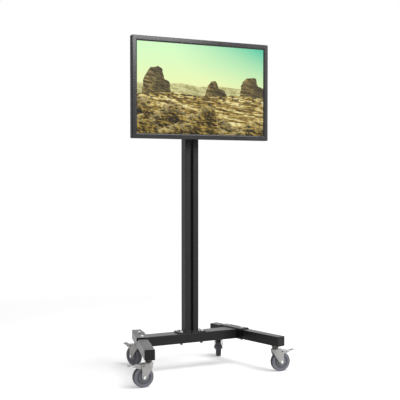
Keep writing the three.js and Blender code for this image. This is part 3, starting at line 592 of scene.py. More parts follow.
def screen_picture(width, height):
    """A lit picture of rock stacks in a dry plain under a green sky, drawn by ramps and noise."""
    paint = Paint("screen_picture", "screen", roughness=0.3, colour=(0.004, 0.004, 0.004),
                  Specular_IOR_Level=0.12, Emission_Strength=1.0)
    calc = paint.math
    place = paint.node("SeparateXYZ", {"Vector": paint.place()})
    across = calc("MULTIPLY_ADD", place.outputs["X"], 1 / width, 0.5 - SCREEN.x / width)
    up = calc("MULTIPLY_ADD", place.outputs["Z"], 1 / height, 0.5 - SCREEN.z / height)

    def field(scale_across, scale_up, shift):
        wide = calc("MULTIPLY_ADD", across, scale_across, shift)
        tall = calc("MULTIPLY_ADD", up, scale_up, shift)
        return paint.node("CombineXYZ", {"X": wide, "Y": tall}).outputs["Vector"]

    def grain(scale_across, scale_up, shift, detail=7.0, roughness=0.62):
        return paint.noise(1.0, detail, roughness, field(scale_across, scale_up, shift))

    def centred(value, swing):
        return calc("MULTIPLY_ADD", value, swing, -swing / 2)

    def under(line, softness=0.006):
        """1 below a line and 0 above it."""
        return calc("MULTIPLY_ADD", calc("SUBTRACT", line, up), 1 / softness, 0.5, clamp=True)

    def skyline(stops, ragged, shift):
        """A line through (across, height) stops, broken up sideways and in height."""
        shaken = calc("ADD", across, centred(grain(9.0, 11.0, shift), 3.0 * ragged))
        level = paint.ramp(shaken, stops)
        return calc("ADD", level, centred(grain(26.0, 4.0, shift + 3.0), 1.6 * ragged))

    def rock(shift, across_scale, up_scale, stops, depth=1.6):
        """A rough face lit from the upper left: the slope of a noise, with patches of another."""
        here = grain(across_scale, up_scale, shift, 8.0, 0.6)
        beside = grain(across_scale, up_scale, shift + 0.16, 8.0, 0.6)
        slope = calc("MULTIPLY_ADD", calc("SUBTRACT", beside, here), depth, 0.5)
        patches = grain(across_scale * 0.5, up_scale * 0.5, shift + 5.0, 4.0, 0.6)
        return paint.ramp(calc("ADD", slope, centred(patches, 0.5)), stops)

    height_in_sky = calc("ADD", up, centred(grain(2.0, 5.0, 1.3, 4.0), 0.10))
    sky = paint.ramp(height_in_sky, (
        (0.46, (0.86, 0.86, 0.42)), (0.60, (0.80, 0.92, 0.46)),
        (0.78, (0.70, 0.93, 0.50)), (1.0, (0.62, 0.93, 0.53))))
    corner = calc("MULTIPLY", calc("POWER", across, 1.5), calc("POWER", up, 2.2), clamp=True)
    sky = paint.mix(paint.ramp(corner, ((0.12, 0.0), (0.50, 0.45), (0.92, 1.0))), sky,
                    (0.10, 0.58, 0.36))

    # Hazy hills on the horizon
    hills = skyline(HILLS, 0.008, 1.7)
    picture = paint.mix(under(hills), sky, rock(2.9, 12.0, 26.0, (
        (0.36, (0.36, 0.34, 0.13)), (0.62, (0.66, 0.63, 0.30)))))

    # Rock stacks, lit from the left
    stacks = skyline(STACKS, 0.016, 4.1)
    stone = rock(6.3, 16.0, 34.0, (
        (0.30, (0.022, 0.017, 0.005)), (0.42, (0.085, 0.060, 0.016)), (0.54, (0.20, 0.145, 0.042)),
        (0.70, (0.42, 0.32, 0.11))))
    shade = paint.ramp(calc("ADD", across, centred(grain(14.0, 9.0, 9.1), 0.05)), (
        (0.04, 0.0), (0.09, 0.15), (0.15, 0.75), (0.25, 0.95), (0.53, 0.0), (0.57, 0.25), (0.62, 0.85),
        (0.70, 0.9), (0.80, 0.0), (0.86, 0.3), (0.92, 0.85), (1.0, 0.95)))
    stone = paint.mix(calc("MULTIPLY", shade, 0.72), stone, (0.026, 0.020, 0.007))
    picture = paint.mix(under(stacks), picture, stone)

    # The plain, with scrub in rows that get closer towards the stacks
    plain = skyline(PLAIN, 0.010, 7.7)
    sand = rock(3.7, 7.0, 26.0, (
        (0.32, (0.090, 0.052, 0.008)), (0.44, (0.30, 0.19, 0.035)), (0.54, (0.56, 0.41, 0.11)),
        (0.68, (0.86, 0.76, 0.36))), 1.8)
    scrub = paint.ramp(grain(30.0, 40.0, 8.2, 3.0, 0.5), ((0.50, 0.0), (0.55, 1.0)))
    sand = paint.mix(calc("MULTIPLY", scrub, paint.ramp(up, ((0.30, 0.45), (0.42, 0.95)))), sand,
                     (0.050, 0.036, 0.009))
    picture = paint.mix(under(plain), picture, sand)

    # Boulders in front, dark, with patches of sunlight towards their tops
    for stops, ragged, shift, warm in (
            (BOULDERS_BEHIND, 0.020, 2.6, 0.7), (BOULDERS_BEFORE, 0.024, 11.4, 1.0)):
        line = skyline(stops, ragged, shift)
        body = rock(shift + 1.0, 15.0, 19.0, (
            (0.30, (0.007, 0.005, 0.001)), (0.43, (0.045 * warm, 0.029 * warm, 0.004)),
            (0.54, (0.15 * warm, 0.098 * warm, 0.014)), (0.72, (0.42, 0.29, 0.06))), 2.0)
        crest = calc("SUBTRACT", 1.0, under(calc("SUBTRACT", line, 0.05), 0.11), clamp=True)
        sunny = paint.ramp(grain(17.0, 24.0, shift + 8.0, 4.0), ((0.44, 0.0), (0.56, 0.75)))
        body = paint.mix(calc("MULTIPLY", crest, sunny), body, (0.66, 0.54, 0.23))
        picture = paint.mix(under(line), picture, body)
    paint.link(picture, "Emission Color")
    return paint


# Base

def bolt_through(kind, place, top, turn):
    """A bolt down through the frame: head and washer above, washer, nut and thread below."""
    node = f"{kind}_bolt_{place}"
    spot = centre(node)
    upright = Matrix.Translation((spot.x, spot.y, 0))
    head_low = top + SEAT + WASHER_SHEET
    washer_low = LEG_BOTTOM - SEAT
    nut_high = washer_low - WASHER_SHEET
    nut_low = nut_high - NUT_HEIGHT
    flip = Matrix.Translation((spot.x, spot.y, nut_high + nut_low)) @ Matrix.Diagonal((1, 1, -1, 1))

    def washer(low, high):
        return turned(eased(rod(WASHER, low, high), 0.3 * MM, 2), upright, 32)

    root, pitch = THREAD - 0.35 * MM, 0.6 * MM
    tip = nut_low - THREAD_END
    ridges = [(0, tip)]
    for i in range(int(THREAD_END / pitch)):
        z = tip + i * pitch
        ridges += [(root, z), (THREAD, z + pitch / 2)]
    ridges += [(root, nut_low), (root, nut_low + MM), (0, nut_low + MM)]
    mesh = merged(
        hex_head(HEX, head_low, head_low + BOLT_HEAD, upright, turn),
        washer(top + SEAT, head_low),
        turned(rod(THREAD, washer_low, top + SEAT), upright, 20),
        washer(nut_high, washer_low),
        hex_head(HEX, nut_low, nut_high, flip, turn + 0.4),
        turned(ridges, upright, 20),
    )
    bolt = piece(f"bolt_{kind}_{place}", mesh, "base", BOLT, node, sharp=28)
    # The washer, nut and thread under the frame take the dark steel as painted shade
    repaint(bolt, STEEL_AND_UNDER_SHADE, lambda face: face.center.z < LEG_BOTTOM)


def legs():
    """The splayed legs with their end caps, saddles and joint bolts."""
    for name, side in SIDES.items():
        front, rear = centre(f"joint_bolt_front_{name}"), centre(f"joint_bolt_rear_{name}")
        run = Vector((rear.x - front.x, rear.y - front.y, 0)).normalized()
        turn = atan2(-run.x, run.y)
        origin = Vector((front.x, front.y, 0)) + run * BOLT_FORWARD
        leg = Matrix.Translation(origin) @ Matrix.Rotation(turn, 4, "Z")
        lo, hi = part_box(f"leg_{name}")
        # Half the tube's length, from the box round the turned tube
        half = ((hi.y - lo.y) - LEG_SIZE * abs(sin(turn))) / cos(turn) / 2
        middle = leg.inverted() @ ((lo + hi) / 2)
        low, high = middle.y - half, middle.y + half
        tube_axis = leg @ along("y", (0, 0, LEG_MIDDLE))
        tube = rounded_bar(LEG_SIZE, LEG_SIZE, LEG_CORNER, -high, -low, tube_axis, 0.3 * MM)
        piece(f"leg_tube_{name}", tube, "base", COAT, f"leg_{name}")
        for end, face, sign in (("front", low, -1), ("rear", high, 1)):
            start, stop = sorted((-(face + sign * SEAT), -(face + sign * (SEAT + CAP_FLANGE))))
            cap = rounded_bar(LEG_SIZE, LEG_SIZE, LEG_CORNER, start, stop, tube_axis, 0.9 * MM)
            piece(f"end_cap_{end}_{name}", cap, "base", PLASTIC, f"leg_cap_{end}_{name}")
        saddle(name, side, leg)
        for end in ("front", "rear"):
            bolt_through("joint", f"{end}_{name}", LEG_TOP + SEAT + SADDLE_SHEET, turn + 0.3 * side)


def saddle(name, side, leg):
    """The folded joint plate: a wall against the beam, rounded bends and a short lip outside."""
    inner = LEG_SIZE / 2 + SEAT
    outer, top = inner + SADDLE_SHEET, LEG_TOP + SEAT
    bend, lip = 6.5 * MM, LEG_TOP - SADDLE_LIP
    inside = bend - SADDLE_SHEET

    def corner(sign, radius, reach, height):
        """A bend on one side, from the upright up to the top."""
        bow = arc(0, 0, radius, 0, QUARTER, 6)
        return [(sign * (reach - radius + x), height - radius + z) for x, z in bow]

    profile = [(-side * outer, LEG_BOTTOM), (-side * inner, LEG_BOTTOM)]
    profile += corner(-side, inside, inner, top) + corner(side, inside, inner, top)[::-1]
    profile += [(side * inner, lip), (side * outer, lip)]
    profile += corner(side, bend, outer, top + SADDLE_SHEET)
    profile += corner(-side, bend, outer, top + SADDLE_SHEET)[::-1]
    rings = [at_depth(profile, y) for y in (-SADDLE_FORWARD, SADDLE_REAR)]
    piece(f"saddle_plate_{name}", loft(rings, leg), "base", COAT, f"saddle_{name}", bevel=0.6 * MM)


def crossbeam():
    """The beam's rounded tube, cut off along the saddles at both ends."""
    outline = rounded(BEAM_HI.y - BEAM_LO.y, LEG_SIZE, BEAM_CORNER, COLUMN.y, LEG_MIDDLE)
    front, rear = centre("joint_bolt_front_right"), centre("joint_bolt_rear_right")
    slope = (rear.x - front.x) / (rear.y - front.y)
    longest = (BEAM_HI.x - BEAM_LO.x) / 2
    long_edge = BEAM_LO.y if slope < 0 else BEAM_HI.y
    rings = [
        [(COLUMN.x + sign * (longest + slope * (y - long_edge)), y, z) for y, z in outline]
        for sign in (-1, 1)
    ]
    piece("beam_tube", loft(rings), "base", COAT, "crossbeam", bevel=0.4 * MM)


def foot_and_column():
    """The bolted flange, the two welded bars of the column and the lid over them."""
    lo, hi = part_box("foot_plate")
    spots = {place: centre(f"foot_bolt_{place}") for place in PLACES}
    holes = [circle(BOLT_HOLE, spot.x, spot.y) for spot in spots.values()]
    outline = rounded(hi.x - lo.x, hi.y - lo.y, LEG_CORNER, COLUMN.x, COLUMN.y)
    piece("foot_flange", plate([outline, *holes], lo.z, hi.z), "base", COAT, "foot_plate")
    for place, spot in spots.items():
        bolt_through("foot", place, hi.z, 0.5 * spot.x / MM)
    for name in SIDES:
        node = f"column_tube_{name}"
        bar = piece(f"column_bar_{name}", bar_in(node, COLUMN_CORNER, 0.3 * MM), "base", SATIN, node)
        # The faces inside the slot take the dull paint as painted shade
        inward = copysign(1, COLUMN.x - centre(node).x)
        repaint(bar, SLOT_SHADE_AND_DULL, lambda face: face.normal.x * inward > 0.98)
        piece(f"weld_{name}", weld_bead(node), "base", COAT)
    lid = bar_in("column_cap", COLUMN_CORNER, 1.1 * MM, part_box("column_tube_left")[1].z + SEAT)
    piece("column_lid", lid, "base", PLASTIC, "column_cap")


def weld_bead(node):
    """A fillet weld round a tube's foot, with the ripples of its passes."""
    lo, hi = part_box(node)
    middle = centre(node)
    outline = rounded(hi.x - lo.x, hi.y - lo.y, COLUMN_CORNER, middle.x, middle.y, 8)
    path = []
    for (x0, y0), (x1, y1) in zip(outline, outline[1:] + outline[:1]):
        steps = max(1, int(hypot(x1 - x0, y1 - y0) / (0.8 * MM)))
        path += zip(spread(x0, x1, steps)[:-1], spread(y0, y1, steps)[:-1])
    rings = []
    for i, (x, y) in enumerate(path):
        (xa, ya), (xb, yb) = path[i - 1], path[(i + 1) % len(path)]
        out = Vector((yb - ya, -(xb - xa))).normalized()
        reach = WELD * (1 + 0.12 * sin(i * 1.3) + 0.05 * sin(i * 0.37))
        section = ((-0.2 * MM, -0.05 * MM), (reach, -0.05 * MM), (reach * 0.62, reach * 0.5),
                   (reach * 0.22, reach * 0.9), (-0.2 * MM, reach))
        rings.append([(x + out.x * run, y + out.y * run, lo.z + rise) for run, rise in section])
    return loft(rings + rings[:1], caps=(False, False))


# Casters

def caster(place):
    """One caster, drawn from the floor under its kingpin with the wheel trailing along +x."""
    swivel, roll, pin = [Vector(JOINTS[f"{motion}_{place}"]["pos_m"]) for motion in
                         ("swivel", "roll", "brake")]
    heading = atan2(roll.y - swivel.y, roll.x - swivel.x)
    local = Matrix.Translation((swivel.x, swivel.y, 0)) @ Matrix.Rotation(heading, 4, "Z")
    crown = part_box(f"caster_fork_{place}")[1].z
    pin_x = (pin - swivel).to_2d().length

    def add(name, mesh, body, paint, node=None, **settings):
        """A piece of this caster, with the place at the end of its names."""
        body = body if body == "base" else f"{body}_{place}"
        return piece(f"{name}_{place}", mesh, body, paint, node and f"{node}_{place}", **settings)

    swivel_head(add, local, crown)
    fork(add, local, crown, roll.z, pin_x, pin.z)
    axle(add, local, roll.z)
    wheel(add, local, roll.z)
    pedal(add, local, pin_x, pin.z)


def swivel_head(add, local, crown):
    """The dark head: a cone over the ball race, the race's bright ring and rivet, and its cup."""
    race, top = crown + 0.3 * MM, LEG_BOTTOM - SEAT
    cup = mm(crown, (12.2, -0.3), (21.4, -0.3), (20.8, 2.6), (16.6, 6.2), (15, 7), (14.4, 6.4),
             (12.4, 1), (12.2, -0.3))
    cone = mm(race, (0, 1.2), (10.2, 1.2), (11, 1.8))
    cone += mm(top, (18.4, -7), (19, -6), (19, -2.2), (16.8, 0), (0, 0))
    ring = mm(race, (5, 0), (10.1, 0), (10.4, 0.7), (9.6, 1.25), (5, 1.25), (5, 0))
    rivet = mm(crown - FORK_SHEET - 0.8 * MM, (0, -3), (6.3, -3), (9, -1.5), (9, 0), (0, 0))
    add("race_cup", turned(eased(cup, 0.7 * MM), local), "caster", ZINC)
    add("head", turned(eased(cone, 0.6 * MM), local), "base", STEEL_AND_UNDER_SHADE, "caster_head")
    add("race", turned(eased(ring, 0.2 * MM), local), "base", BOLT)
    add("rivet", turned(eased(rivet, 0.5 * MM), local, 32), "base", BOLT)


def fork(add, local, crown, axle_z, pin_x, pin_z):
    """Pressed steel fork: a crown bent down into skirts that taper to the axle."""
    front, skirt = -FORK_HALF, crown - FORK_SKIRT
    reach = hypot(TRAIL - front, skirt - axle_z)
    lean = atan2(axle_z - skirt, TRAIL - front) - asin(FORK_EYE / reach)
    touch = lean - QUARTER
    (touch_x, touch_z), *eye = arc(TRAIL, axle_z, FORK_EYE, touch, 0, 14)

    def low(x):
        """The skirt's lower edge, from the front to where it touches the eye."""
        return skirt + (touch_z - skirt) * (x - front) / (touch_x - front)

    path = []
    for angle in spread(0, QUARTER, 16):
        x, y = front * cos(angle), FORK_HALF * sin(angle)
        path.append((x, y, cos(angle), -sin(angle), low(x), crown))
    path += [(x, FORK_HALF, 0.0, -1.0, low(x), crown) for x in spread(0, touch_x, 8)[1:]]
    path += [(x, FORK_HALF, 0.0, -1.0, z, crown) for x, z in eye]
    shell = pressed(path, FORK_BEND, FORK_SHEET, local)
    add("fork_shell", shell, "caster", ZINC, "caster_fork", sharp=40)
    washer = eased(mm(0, (0, -0.2), (7.4, -0.2), (7.4, 0.5), (6.2, 1), (0, 1)), 0.3 * MM)
    dot = eased(mm(0, (0, -0.2), (3.7, -0.2), (3.7, 0.05), (2.9, 0.45), (0, 0.5)), 0.2 * MM)
    for sign, tag in ((-1, "a"), (1, "b")):
        boss = facing("y", sign, (TRAIL, FORK_HALF * sign, axle_z), local)
        add(f"axle_washer_{tag}", turned(washer, boss, 32), "caster", ZINC)
        end = facing("y", sign, (pin_x, FORK_HALF * sign, pin_z), local)
        add(f"pin_end_{tag}", turned(dot, end, 24), "caster", SLOT_SHADE_AND_DULL)


def axle(add, local, axle_z):
    """The axle bolt: hexagon head on one side, nut and thread end on the other."""
    left, right = [facing("y", sign, (TRAIL, 0, axle_z), local) for sign in (1, -1)]
    out = FORK_HALF + MM
    end = eased(mm(out, (0, 2.4), (4, 2.4), (4, 3.1), (3.3, 3.5), (0, 3.5)), 0.2 * MM)
    mesh = merged(
        hex_head(6.4 * MM, out, out + 3.4 * MM, left, 0.3),
        hex_head(6.4 * MM, out, out + 2.6 * MM, right, 0.8),
        turned(rod(4 * MM, -out - 2.4 * MM, out), left, 20),
        turned(end, right, 24),
    )
    add("axle_bolt", mesh, "caster", BOLT, "caster_axle", sharp=28)


def wheel(add, local, axle_z):
    """Tyre with a rounded shoulder and a groove beside the hub, and a moulded hub."""
    turn = facing("y", -1, (TRAIL, 0, axle_z), local)
    shoulder = 3.2 * MM
    flank = axle_z - shoulder
    side = mm(-TYRE_HALF, (0, 1.6), (0.9, 0.4), (2.2, 0), reach=TYRE_INNER)
    side += mm(-TYRE_HALF, (-4.4, 0), (-3.6, 0.6), (-2.8, 0), reach=flank)
    side += arc(flank, -TYRE_HALF + shoulder, shoulder, -QUARTER, 0, 7)
    tyre = add("tyre", turned(mirrored(side), turn, 96), "wheel", RUBBER, "caster_tyre", sharp=40)
    back = turn.inverted()
    tread = axle_z - shoulder * 0.55
    repaint(tyre, TREAD, lambda face: (back @ face.center).to_2d().length > tread)
    cone = mm(0, (4.4, -18.6), (7.4, -18.6), (8.2, -17.8), (16.2, -16.2), (16.8, -15), (18, -15),
              (18.4, -15.5), (26.2, -13.7), (27, -12.8), (27.2, -9), (29.5, -9), (29.9, -11),
              (30.8, -11.6), (33, -11.6), (33.8, -10.8))
    hub = turned(mirrored(eased(cone, 0.5 * MM)), turn, 72)
    add("hub", hub, "wheel", HUB, "caster_hub", sharp=35)


def pedal(add, local, pin_x, pin_z):
    """Brake pedal: a pressed channel over the wheel that runs out into a ribbed blade."""
    base = local @ Matrix.Translation((pin_x, 0, pin_z))
    roof, dip, rise, lip = 4 * MM, 4.5 * MM, 4.8 * MM, 4.2 * MM
    heel, knee, low_x, tip = -7 * MM, 27 * MM, 41 * MM, 72.9 * MM
    heel_low, skirt_front, skirt_rear = -4.6 * MM, -15.5 * MM, -9.5 * MM
    skirt_end, skirt_run, corner = 35 * MM, 6 * MM, 6 * MM
    front = TRAIL + FORK_EYE - pin_x
    shoulder = tip - corner

    def smooth(t):
        t = min(1.0, max(0.0, t))
        return t * t * (3 - 2 * t)

    def top(x):
        """Falls to the heel, runs level to the knee, dips, and rises to the tip."""
        if x < 0:
            return roof + 0.18 * x
        if x < low_x:
            return roof - dip * smooth((x - knee) / (low_x - knee))
        return roof - dip + rise * smooth((x - low_x) / (tip - low_x))

    def low(x):
        if x < front:
            return heel_low + (skirt_front - heel_low) * smooth((x - heel) / (front - heel))
        if x < skirt_end:
            return skirt_front + (skirt_rear - skirt_front) * (x - front) / (skirt_end - front)
        return skirt_rear + (top(x) - lip - skirt_rear) * smooth((x - skirt_end) / skirt_run)

    def half(x):
        narrowing = smooth((x - skirt_end) / (tip - skirt_end) * 1.4)
        return PEDAL_HALF - (PEDAL_HALF - PEDAL_TIP_HALF) * narrowing

    stations = spread(heel, front, 6) + spread(front, skirt_end, 8)[1:]
    stations += spread(skirt_end, shoulder, 16)[1:]
    path = [(x, half(x), 0.0, -1.0, low(x), top(x)) for x in stations]
    flat = half(shoulder) - corner
    for angle in spread(0, QUARTER, 6)[1:]:
        x = shoulder + corner * sin(angle)
        path.append((x, flat + corner * cos(angle), -sin(angle), -cos(angle),
                     top(x) - lip, top(x)))
    path += [(tip, flat * (1 - i / 4), -1.0, 0.0, top(tip) - lip, top(tip)) for i in range(1, 5)]
    shell = pressed(path, PEDAL_BEND, PEDAL_SHEET, base)
    add("pedal_shell", shell, "pedal", ZINC, "brake_pedal", sharp=40)
    ribs = []
    for i in range(5):
        x = tip - (4.5 + 4.2 * i) * MM
        run = facing("y", -1, (x, 0, top(x) - 0.2 * MM), base)
        ribs.append(rounded_bar(2.4 * MM, 1.4 * MM, 0.6 * MM, -8 * MM, 8 * MM, run, 0.3 * MM))
    add("pedal_ribs", merged(*ribs), "pedal", STEEL_AND_UNDER_SHADE)
    under = roof - PEDAL_SHEET
    pad = rounded_bar(11 * MM, 20.4 * MM, 1.2 * MM, under - 5.8 * MM, under,
                      base @ Matrix.Translation((18.5 * MM, 0, 0)))
    add("brake_pad", pad, "pedal", STEEL_AND_UNDER_SHADE)
    pin = eased(rod(2.2 * MM, -18.6 * MM, 18.6 * MM), 0.2 * MM)
    add("pedal_pin", turned(pin, facing("y", -1, (0, 0, 0), base), 20), "pedal", STEEL_AND_UNDER_SHADE)


# Carriage and tilt head

def star_knob(radius, depth, matrix, stud, tip):
    """A star knob of five lobes on the local +z, with a sunk cap, and its stud along -z."""
    def ring(scale, z, share=0.1):
        outline = []
        for angle in spread(0, 2 * pi, 60)[:-1]:
            reach = scale * radius * (1 - share + share * cos(5 * angle))
            outline.append((reach * cos(angle), reach * sin(angle), z))
        return outline

    neck = 6 * MM
    top = neck + depth
    body = [
        ring(0.5, 0, 0), ring(0.5, neck * 0.8, 0), ring(0.72, neck, 0.04), ring(0.95, neck + 1.2 * MM),
        ring(1, neck + 3 * MM), ring(1, top - 4 * MM), ring(0.97, top - 1.8 * MM),
        ring(0.88, top - 0.5 * MM), ring(0.7, top), ring(0.5, top, 0), ring(0.46, top - 0.8 * MM, 0),
        ring(0.3, top - 0.8 * MM, 0),
    ]
    shaft = [(0, tip), (stud - 0.6 * MM, tip), (stud, tip + 0.8 * MM), (stud, MM), (0, MM)]
    return loft(body, matrix), turned(eased(shaft, 0.1 * MM), matrix, 24)


def carriage():
    """The plate in front of the column, its guide in the slot, and the clamp plate and knobs."""
    lo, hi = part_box("carriage_plate")
    middle_z = (lo.z + hi.z) / 2
    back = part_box("column_tube_left")[0].y - TURN_GAP
    front = back - 5 * MM
    studs = {name: JOINTS[f"clamp_turn_{name}"]["pos_m"] for name in ("upper", "lower")}
    holes = [circle(BOLT_HOLE, x, z) for x, _, z in studs.values()]
    outline = rounded(hi.x - lo.x, hi.z - lo.z, 8 * MM, COLUMN.x, middle_z)
    nuts = [hex_head(7.4 * MM, 0, 6.4 * MM, facing("y", -1, (x, front, z)))
            for x, _, z in studs.values()]
    face = merged(face_plate([outline, *holes], front, back), *nuts)
    piece("carriage_face", face, "carriage", COAT, "carriage_plate")
    piece("guide_block", bar_in("slot_guide", 1.5 * MM, MM), "carriage", PLASTIC, "slot_guide")
    lo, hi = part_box("clamp_plate")
    outline = rounded(hi.x - lo.x, hi.z - lo.z, 8 * MM, COLUMN.x, middle_z)
    clamp = face_plate([outline, *holes], lo.y, hi.y)
    piece("clamp_bar", clamp, "carriage", COAT, "clamp_plate")
    start = hi.y + SEAT
    for name, (x, _, z) in studs.items():
        node = f"clamp_knob_{name}"
        body, stud = star_knob(radius=25 * MM, depth=20 * MM, matrix=facing("y", 1, (x, start, z)),
                               stud=4 * MM, tip=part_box(node)[0].y - start)
        piece(f"knob_{name}", body, node, PLASTIC, node, sharp=50)
        piece(f"knob_stud_{name}", stud, node, BOLT)
    clevis(front)


def clevis(carriage_front):
    """Two ears on a base plate, one with the curved slot of the tilt lock, and the pivot bolt."""
    lo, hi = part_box("clevis_bracket")
    back = carriage_front - SEAT
    front = back - 4 * MM
    y, z = PIVOT.y, PIVOT.z
    outline = rounded(hi.x - lo.x, hi.z - lo.z, 4 * MM, COLUMN.x, z)
    meshes = [face_plate([outline], front, back)]
    half, ear = 45 * MM, 4 * MM
    root = front + 2 * MM
    shape = [(root, z + 22 * MM)] + arc(y, z, 13 * MM, QUARTER, pi, 12)
    shape += arc(y, z - LOCK_DROP, 11 * MM, pi, 3 * QUARTER, 12) + [(root, z - 43 * MM)]
    first, last = radians(-96.5), radians(-73.5)
    rut = 3.3 * MM

    def round_end(angle, start):
        """The slot's end: a half circle about a point on the lock's arc."""
        centre_y, centre_z = y + LOCK_DROP * cos(angle), z + LOCK_DROP * sin(angle)
        return arc(centre_y, centre_z, rut, start, start + pi, 8)[1:]

    slot = arc(y, z, LOCK_DROP + rut, first, last, 10) + round_end(last, last)
    slot += arc(y, z, LOCK_DROP - rut, last, first, 10)[1:] + round_end(first, first + pi)[:-1]
    hole = circle(PIVOT_HOLE, y, z)
    for sign in (-1, 1):
        a, b = sorted((COLUMN.x + sign * half, COLUMN.x + sign * (half - ear)))
        loops = [shape, hole, slot] if sign > 0 else [shape, hole]
        meshes.append(plate(loops, a, b, along("x")))
    piece("clevis", merged(*meshes), "carriage", COAT, "clevis_bracket")
    screw = eased(mm(0, (0, 0), (6, 0), (5.4, 2), (2.6, 2.9), (2.4, 1.4), (0, 1.4)), 0.5 * MM)
    screw_x, screw_z = 22 * MM, 38 * MM
    heads = [
        turned(screw, facing("y", -1, (COLUMN.x + side * screw_x, front, z + end * screw_z)), 24)
        for side in (-1, 1) for end in (-1, 1)
    ]
    piece("clevis_screws", merged(*heads), "carriage", BOLT)
    lo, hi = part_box("pivot_pin")
    place = ((lo.x + hi.x) / 2, y, z)
    reach = hi.x - place[0]
    disc = mm(reach, (5, -4), (9, -4), (9, -2.6), (5, -2.6), (5, -4))
    meshes = []
    for sign in (-1, 1):
        side = facing("x", sign, place)
        meshes.append(turned(eased(disc, 0.3 * MM), side, 32))
        meshes.append(hex_head(7.6 * MM, reach - 2.6 * MM, reach, side))
    meshes.append(turned(rod(5 * MM, -reach + MM, reach - MM), facing("x", 1, place), 32))
    piece("pivot_bolt", merged(*meshes), "carriage", BOLT, "pivot_pin", sharp=28)


def tilt_head():
    """The bracket that swings on the pivot, its lock knob and the two rails."""
    lo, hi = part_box("tilt_bracket")
    y, z = PIVOT.y, PIVOT.z
    front, back = lo.y, lo.y + 3 * MM
    middle = (lo.x + hi.x) / 2
    outline = rounded(hi.x - lo.x, hi.z - lo.z, 8 * MM, middle, z)
    meshes = [face_plate([outline], front, back, 0.4 * MM)]
    inside, outside = 45.5 * MM, 48.5 * MM
    root = back - 1.5 * MM
    shape = [(root, z - 45 * MM)] + arc(y, z - LOCK_DROP, 12 * MM, -QUARTER, 0, 12)
    shape += arc(y, z, 14 * MM, 0, QUARTER, 12) + [(root, z + 30 * MM)]
    for sign in (-1, 1):
        a, b = sorted((middle + sign * inside, middle + sign * outside))
        loops = [shape, circle(PIVOT_HOLE, y, z)]
        if sign > 0:
            loops.append(circle(3.3 * MM, y, z - LOCK_DROP))
        meshes.append(plate(loops, a, b, along("x"), 0.4 * MM))
    piece("tilt_plate", merged(*meshes), "display", COAT, "tilt_bracket")
    start = middle + outside + TURN_GAP
    stud_matrix = facing("x", 1, (start, y, z - LOCK_DROP))
    body, stud = star_knob(radius=14 * MM, depth=16 * MM, matrix=stud_matrix, stud=3 * MM,
                           tip=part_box("tilt_knob")[0].x - start)
    inner_face = middle + 41 * MM - TURN_GAP
    head = hex_head(7 * MM, 0, 3.6 * MM, facing("x", -1, (inner_face, y, z - LOCK_DROP)))
    piece("lock_knob", body, "tilt_knob", PLASTIC, "tilt_knob", sharp=50)
    piece("lock_stud", merged(stud, head), "tilt_knob", BOLT)
    for name in SIDES:
        rail(name, back)


def rail(name, plate_back):
    """A U-shaped rail, open to the rear, with the screws that hold it to the display."""
    lo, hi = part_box(f"rail_{name}")
    middle = (lo.x + hi.x) / 2
    wall, bend = 2.5 * MM, 3 * MM

    def channel(inset, radius, steps):
        """One skin of the U, from its left edge round to its right."""
        left, right, floor_y = lo.x + inset + radius, hi.x - inset - radius, lo.y + inset + radius
        bends = arc(left, floor_y, radius, pi, 3 * QUARTER, steps)
        bends += arc(right, floor_y, radius, -QUARTER, 0, steps)
        return [(lo.x + inset, hi.y), *bends, (hi.x - inset, hi.y)]

    section = channel(0, bend, 5) + channel(wall, bend - wall, 4)[::-1]
    channel_mesh = loft([at_height(section, lo.z), at_height(section, hi.z)])
    piece(f"rail_{name}_channel", channel_mesh, "display", COAT, f"rail_{name}", bevel=0.4 * MM)
    screw = eased(mm(0, (0, 0), (5.5, 0), (5, 2.2), (2.6, 3.3), (2.3, 1.6), (0, 1.6)), 0.5 * MM)
    heads = [
        turned(screw, facing("y", 1, (middle, lo.y + wall, SCREEN.z + offset * MM)), 24)
        for offset in (-100, 100)
    ]
    heads += [
        hex_head(6.5 * MM, 0, 4 * MM, facing("y", 1, (middle, plate_back, SCREEN.z + offset * MM)))
        for offset in (-38, 38)
    ]
    piece(f"rail_{name}_screws", merged(*heads), "display", BOLT)


# Display

def display():
    """The front frame, the screen in it and the rear shell."""
    lo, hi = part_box("display_bezel")
    width, height = hi.x - lo.x, hi.z - lo.z
    middle_x, middle_z = (lo.x + hi.x) / 2, (lo.z + hi.z) / 2
    front, back = lo.y, hi.y

    def ring(inset, y, corner):
        """An outline inset from the display's edge, with the inset and corner in millimetres."""
        outline = rounded(width - 2 * inset * MM, height - 2 * inset * MM, corner * MM,
                          middle_x, middle_z)
        return at_depth(outline, y)

    # Inset, depth and corner: rounds over the outer edge, runs flat, then slopes in to the panel
    steps = ((0, 2.4, 5), (0.25, 1.3, 4.8), (0.9, 0.5, 4.2), (2, 0.1, 3.4), (3.2, 0, 2.6),
             (RIM - 4.6, 0, 1.6), (RIM - 3.4, 0.35, 1.2), (RIM - 2.4, 1.2, 0.9), (RIM, LIP - 0.4, 0.6),
             (RIM, LIP, 0.6), (RIM - 4.6, LIP, 0.6))
    rings = [ring(1, back, 4.2), ring(0, back - MM, 5)]
    rings += [ring(inset, front + depth * MM, corner) for inset, depth, corner in steps]
    rings += [ring(RIM - 4.6, back, 0.6), rings[0]]
    bezel = piece("bezel", loft(rings, caps=(False, False)), "display", CASE, "display_bezel",
                  sharp=50)

    def outward(face):
        to_side = (face.center.x - middle_x) * face.normal.x
        return face.normal.y > -0.93 and to_side + (face.center.z - middle_z) * face.normal.z > 0

    repaint(bezel, MATTE, outward)
    screen(ring, front + LIP * MM + SEAT)
    rear_shell(middle_x, middle_z, width, height)


